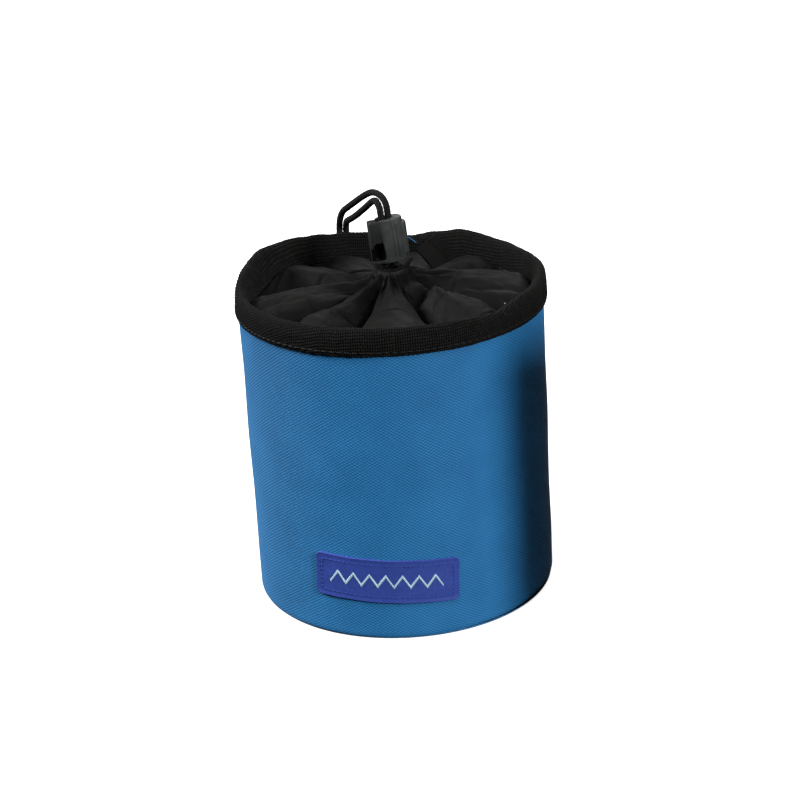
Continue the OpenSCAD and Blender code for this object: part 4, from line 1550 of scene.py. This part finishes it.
def makeWallSeam(s):
    columns, rows = len(s["profile"]) - 1, s["rows"]

    def pointAt(i, j):
        share, rise = s["profile"][i]
        height = s["low"] + (s["high"] - s["low"]) * j / rows
        dent = s["uneven"] * noise.noise(Vector((i, j * 0.8, 0)))
        return onCircle(s["turn"] + share * s["half"], bag["wall"] + rise * mm + dent, height)
    obj = makeGrid("wallSeam", columns, rows, pointAt,
                   lambda i, j: (s["profile"][i][0] * s["half"] * mm, s["length"] * j / rows), closed=False)
    thicken(obj, s["thickness"])
    shadeSmooth(obj, 60)
    return obj


wallSeam = makeWallSeam(backSeam)
attach(wallSeam, "bag", "wall_cloth", blueCloth, ["wall_seam"])

# a small end of blue cloth caught in the rear of the rim
tab = {
    "start": Vector((7.2, 51.4, 121.6)) * mm,
    "end": Vector((11.4, 50.6, 118.5)) * mm,
    "drop": Vector((-0.12, 0.02, -0.22)) * mm,
    "bow": 0.35 * mm,
    "columns": 14,
    "rows": 4,
    "size": (7 * mm, 1.5 * mm),
    "thickness": 0.3 * mm,
    "edge": 0.06 * mm,
}


def makeRearTab(s):
    columns, rows = s["columns"], s["rows"]

    def pointAt(i, j):
        p = s["start"].lerp(s["end"], i / columns) + s["drop"] * (j / rows)
        return p + Vector((0, -s["bow"] * math.sin(math.pi * i / columns), 0))
    obj = makeGrid("rearTab", columns, rows, pointAt,
                   lambda i, j: (s["size"][0] * i / columns, s["size"][1] * j / rows), closed=False)
    thicken(obj, s["thickness"], offset=0)
    softenEdges(obj, s["edge"], 2, 50)
    shadeSmooth(obj, 60)
    return obj


rearTab = makeRearTab(tab)
attach(rearTab, "bag", "wall_cloth", blueCloth, ["rear_tab"])
print("belt loop, seam and tab made")


# cord lock
lock = {
    # where the foot of the slot stands, and how the lock is turned and leans there, in degrees
    "foot": Vector((0.8, 8, 125.45)) * mm,
    "turn": 15,
    "lean": 4.5,
    "height": 17 * mm,
    "length": 9.8 * mm,
    "width": 6.5 * mm,
    # how far the round column goes on before the mouth cuts it off
    "spare": 0.7 * mm,
    # how much the broad faces are crowned: 2 is an ellipse, more is flatter
    "crown": 3.0,
    # bevels of the barrel's outer edges and of the edges that the cuts leave
    "soft": 0.55 * mm,
    "cutEdge": 0.15 * mm,
    # the slot for the cords: its middle in x, length, width and the radius of its ends
    "slot": (3.6 * mm, 5.55 * mm, 2.9 * mm),
    "slotEnd": 1.42 * mm,
    # the step at the closed end: how far out, its width, its drop at both ends and its corners
    "step": (1.4 * mm, 4.7 * mm, 2.2 * mm, 1.85 * mm),
    # grip ribs: their places in x, radius, and how far they are let into the faces
    "ribs": ((6.8 * mm, 5.3 * mm), 0.5 * mm, 0.32 * mm),
    # the pocket of the spring: radius, depth and middle in x
    "pocket": (1.72 * mm, 3.3 * mm, 8.75 * mm),
    # room round the plunger's head: in x, in y; and round its stem: in y, and the wall beyond it and above it
    "headRoom": (1.75 * mm, 0.2 * mm),
    "stemRoom": (0.3 * mm, 0.8 * mm, 1.6 * mm),
    # the plunger's stem: from x to x, width, how far it keeps from both ends, and its corners
    "stem": (-2.4 * mm, 7.17 * mm, 4.4 * mm, 1.75 * mm),
    "stemCorner": 0.7 * mm,
    # side outline of the barrel's mouth, as (x, z) in mm
    "mouth": [(-9, -1), (0.2, -1), (0.25, 0.5), (0.9, 1.0), (1.35, 1.6), (1.6, 2.8), (1.5, 4.5), (1.15, 7.65),
              (0.6, 11), (0.2, 14), (0.05, 15.6), (0.15, 16.6), (0.5, 18), (-9, 18)],
    # side outlines of the hollow in the plunger's near cheek, each with how far in it goes
    "hollows": [([(-2.9, 1.4), (3.1, 1.4), (3.5, 2.8), (3.3, 8.2), (-1.6, 8.4), (-2.4, 7.9), (-2.7, 7.2),
                  (-2.9, 6.4)], 1.0 * mm),
                ([(-4, 1.4), (-2.5, 1.4), (-2.5, 6.8), (-2.75, 6.4), (-4, 6.4)], 0.1 * mm)],
    # the part that is pressed, full height: from x to x, width, from z to z
    "head": (-3.2 * mm, 2.1 * mm, 4.9 * mm, 0.05 * mm, 16.6 * mm),
    "headCorner": 0.8 * mm,
    "headSoft": 0.6 * mm,
    # where the plunger's hole for the cords starts in x, and the notch below it: its start in x and its top
    "hole": -0.77 * mm,
    "notch": (-1.75 * mm, 1.9 * mm),
    "plungerEdge": 0.12 * mm,
}


def lockMatrix(s):
    return (Matrix.Translation(s["foot"]) @ Matrix.Rotation(math.radians(-s["lean"]), 4, "Y")
            @ Matrix.Rotation(math.radians(s["turn"]), 4, "Z") @ Matrix.Translation((-s["slot"][0], 0, 0)))


def block(x0, x1, width, z0, z1, round_=0.0, segments=6):
    # a box in the lock's own place, its upright corners rounded
    deselectAll()
    bpy.ops.mesh.primitive_cube_add(size=1, location=((x0 + x1) / 2, 0, (z0 + z1) / 2))
    obj = bpy.context.active_object
    obj.scale = (x1 - x0, width, z1 - z0)
    bpy.ops.object.transform_apply(location=True, rotation=True, scale=True)
    if round_:
        bpy.ops.object.mode_set(mode="EDIT")
        bpy.ops.mesh.select_mode(type="EDGE")
        bpy.ops.mesh.select_all(action="DESELECT")
        bpy.ops.object.mode_set(mode="OBJECT")
        for edge in obj.data.edges:
            a, b = (obj.data.vertices[k].co for k in edge.vertices)
            edge.select = abs(a.z - b.z) > 0.5 * (z1 - z0)
        bpy.ops.object.mode_set(mode="EDIT")
        bpy.ops.mesh.bevel(offset=round_, segments=segments)
        bpy.ops.object.mode_set(mode="OBJECT")
    return obj


def prism(points, y0, y1):
    # a side outline in (x, z), drawn out from y0 to y1
    count = len(points)
    verts = [(x * mm, y, z * mm) for y in (y0, y1) for x, z in points]
    faces = [tuple(range(count)), tuple(range(2 * count - 1, count - 1, -1))]
    faces += [(k, k + count, (k + 1) % count + count, (k + 1) % count) for k in range(count)]
    mesh = bpy.data.meshes.new("prism")
    mesh.from_pydata(verts, [], faces)
    obj = bpy.data.objects.new("prism", mesh)
    bpy.context.scene.collection.objects.link(obj)
    activate(obj)
    bpy.ops.object.mode_set(mode="EDIT")
    bpy.ops.mesh.select_all(action="SELECT")
    bpy.ops.mesh.normals_make_consistent(inside=False)
    bpy.ops.object.mode_set(mode="OBJECT")
    return obj


def rod(radius, depth, place, lying=False, sides=24):
    deselectAll()
    turn = (0, math.pi / 2, 0) if lying else (0, 0, 0)
    bpy.ops.mesh.primitive_cylinder_add(vertices=sides, radius=radius, depth=depth,
                                        location=place, rotation=turn)
    obj = bpy.context.active_object
    bpy.ops.object.transform_apply(location=True, rotation=True, scale=True)
    return obj


def combine(obj, other, operation):
    made = obj.modifiers.new(operation.lower(), "BOOLEAN")
    made.operation, made.object, made.solver = operation, other, "EXACT"
    activate(obj)
    bpy.ops.object.modifier_apply(modifier=made.name)
    bpy.data.objects.remove(other)
    return obj


def makeBarrel(s):
    h, w, l = s["height"], s["width"], s["length"]
    slotX, slotL, slotW = s["slot"]
    out, stepW, drop, stepCorner = s["step"]
    ribPlaces, ribRadius, ribSunk = s["ribs"]
    pocketRadius, pocketDepth, pocketX = s["pocket"]
    roomX, roomY = s["headRoom"]
    stemGap, endWall, topWall = s["stemRoom"]
    beyond = 1 * mm
    # a rounded column, a little crowned on its broad faces
    body = rod(1, h, (0, 0, h / 2), sides=96)
    for v in body.data.vertices:
        a = math.atan2(v.co.y, v.co.x)
        x, y = (math.copysign(abs(c) ** (2 / s["crown"]), c) for c in (math.cos(a), math.sin(a)))
        v.co.x, v.co.y = (l - s["spare"]) / 2 + x * (l + s["spare"]) / 2, y * w / 2
    softenEdges(body, s["soft"], 4, 60)
    step = block(l - 4 * mm, l + out, stepW, drop, h - drop, stepCorner, 8)
    softenEdges(step, s["soft"], 4, 60)
    combine(body, step, "UNION")
    for side in (-1, 1):
        for x in ribPlaces:
            combine(body, rod(ribRadius, h - 2 * drop, (x, side * (w / 2 - ribSunk), h / 2)), "UNION")
    # the mouth, the room for the plunger's head and stem, the spring's pocket, and the slot
    for cut in (prism(s["mouth"], -w, w),
                block(-4 * mm, s["head"][1] + roomX, s["head"][2] + roomY, -beyond, h + beyond),
                block(-8 * mm, l - endWall, s["stem"][2] + stemGap, topWall, h - topWall),
                rod(pocketRadius, pocketDepth, (pocketX, 0, h / 2), lying=True),
                block(slotX - slotL / 2, slotX + slotL / 2, slotW, -beyond, h + beyond, s["slotEnd"], 8)):
        combine(body, cut, "DIFFERENCE")
    softenEdges(body, s["cutEdge"], 2, 50)
    return body


def makePlunger(s):
    h = s["height"]
    x0, x1, w, z0 = s["stem"]
    slotX, slotL, slotW = s["slot"]
    notchX, notchTop = s["notch"]
    body = block(x0, x1, w, z0, h - z0, s["stemCorner"], 4)
    head = block(*s["head"], s["headCorner"], 5)
    softenEdges(head, s["headSoft"], 4, 60)
    combine(body, head, "UNION")
    cuts = [block(s["hole"], slotX + slotL / 2, slotW, 0, h, s["slotEnd"], 6),
            block(notchX, slotX, slotW, -1 * mm, notchTop)]
    for cut in cuts + [prism(outline, -4 * mm, depth) for outline, depth in s["hollows"]]:
        combine(body, cut, "DIFFERENCE")
    softenEdges(body, s["plungerEdge"], 2, 50)
    # painted shade: the inside of the hollow is marked so that its material paints it near black with little
    # shine
    marks = body.data.attributes.new("inside", "FLOAT", "POINT")
    marks.data.foreach_set("value", [
        1.0 if -1.6 * mm < v.co.y < 1.1 * mm and 1.3 * mm < v.co.z < 9 * mm else 0.0
        for v in body.data.vertices])
    return body


barrel, plunger = makeBarrel(lock), makePlunger(lock)
for obj, name, body, slot, material, node in (
        (barrel, "lockBarrel", "lock", "lock_plastic", lockPlastic, "lock_barrel"),
        (plunger, "lockPlunger", "plunger", "plunger_plastic", plungerPlastic, "lock_plunger")):
    obj.data.transform(lockMatrix(lock))
    settle(obj, name)
    shadeSmooth(obj, 35)
    attach(obj, body, slot, material, [node])


# the spring between the plunger and the closed end; pressed is the share of its length left at full press
spring = {
    "wire": 0.35 * mm,
    "coil": 2.8 * mm,
    "turns": 3,
    "start": 7.4 * mm,
    "length": 2.775 * mm,
    "pressed": 0.48,
}


def makeSpring(s):
    steps = 24 * s["turns"]
    points = []
    for k in range(steps + 1):
        a = 2 * math.pi * s["turns"] * k / steps
        points.append(Vector((s["start"] + s["length"] * k / steps, s["coil"] / 2 * math.cos(a),
                              lock["height"] / 2 + s["coil"] / 2 * math.sin(a))))
    path = smoothPath(points, 0.12 * mm)[0]
    obj = sweep("lockSpring", path, lambda distance, angle: (s["wire"] / 2, 0.5), 10)
    obj.data.transform(lockMatrix(lock))
    return obj


lockSpring = makeSpring(spring)
attach(lockSpring, "lock", "spring_steel", springSteel, ["lock_spring"])
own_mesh(lockSpring)
print("cord lock made")


# floor and lights
studio = {
    "floorTone": 0.5,
    "floorGlow": 0.86,
    # the sky's colour, and the strength of its light
    "skyColour": (1.0, 0.96, 0.92, 1),
    "sky": 0.05,
    # turn from the front, height, strength and soft angle of each light, in degrees and W/m2
    "lights": {
        "front": (40, 28, 4.0, 14),
        "left": (-104, 30, 7.0, 25),
        "top": (-25, 62, 1.8, 30),
        "rear": (165, 35, 1.6, 35),
    },
    # a dark card that keeps the front light off the right side: how far away, the turn where its shadow
    # starts, its width and its height
    "card": (0.085, 43, 0.16, 0.152),
}


def addSun(name, turn, height, strength, angle):
    data = bpy.data.lights.new(name, "SUN")
    data.energy, data.angle = strength, math.radians(angle)
    obj = bpy.data.objects.new(name, data)
    a, b = math.radians(turn), math.radians(height)
    towards = Vector((math.sin(a) * math.cos(b), -math.cos(a) * math.cos(b), math.sin(b)))
    obj.rotation_euler = towards.to_track_quat("Z", "Y").to_euler()
    obj.location = towards
    bpy.context.scene.collection.objects.link(obj)


def makeCard(s):
    away, turn, width, height = s["card"]
    sun = math.radians(s["lights"]["front"][0])
    towards = Vector((math.sin(sun), -math.cos(sun), 0))
    across = Vector((math.cos(sun), math.sin(sun), 0))
    edge = onCircle(turn, bag["wall"]) + towards * away
    up = Vector((0, 0, height))
    verts = [edge, edge + across * width, edge + across * width + up, edge + up]
    mesh = bpy.data.meshes.new("studioCard")
    mesh.from_pydata(verts, [], [(0, 1, 2, 3)])
    card = bpy.data.objects.new("studioCard", mesh)
    bpy.context.scene.collection.objects.link(card)
    card.data.materials.append(startMaterial("cardBlack", Base_Color=(0.02, 0.02, 0.02, 1))[0])
    card.visible_camera = card.visible_diffuse = card.visible_glossy = False


def makeStudio(s):
    deselectAll()
    bpy.ops.mesh.primitive_plane_add(size=24, location=(0, 0, -0.0002))
    floor = bpy.context.active_object
    floor.name = floor.data.name = "studioFloor"
    paper, tree, shader, place = startMaterial("paper", Roughness=0.9, Emission_Color=(1, 1, 1, 1),
                                               Emission_Strength=s["floorGlow"])
    grain = noiseOf(tree, place.outputs["Object"], 40 * mm, 2)
    tone = s["floorTone"]
    tree.links.new(mixColour(tree, grain, (tone, tone, tone, 1), (tone + 0.02, tone + 0.02, tone + 0.02, 1)),
                   shader.inputs["Base Color"])
    floor.data.materials.append(paper)
    floor.visible_diffuse = floor.visible_glossy = False
    makeCard(s)
    for name, light in s["lights"].items():
        addSun(name, *light)
    world = bpy.data.worlds.new("sky")
    world.use_nodes = True
    sky = world.node_tree.nodes["Background"]
    sky.inputs["Color"].default_value = s["skyColour"]
    sky.inputs["Strength"].default_value = s["sky"]
    bpy.context.scene.world = world
    bpy.context.scene.view_settings.view_transform = "Standard"


makeStudio(studio)
deselectAll()
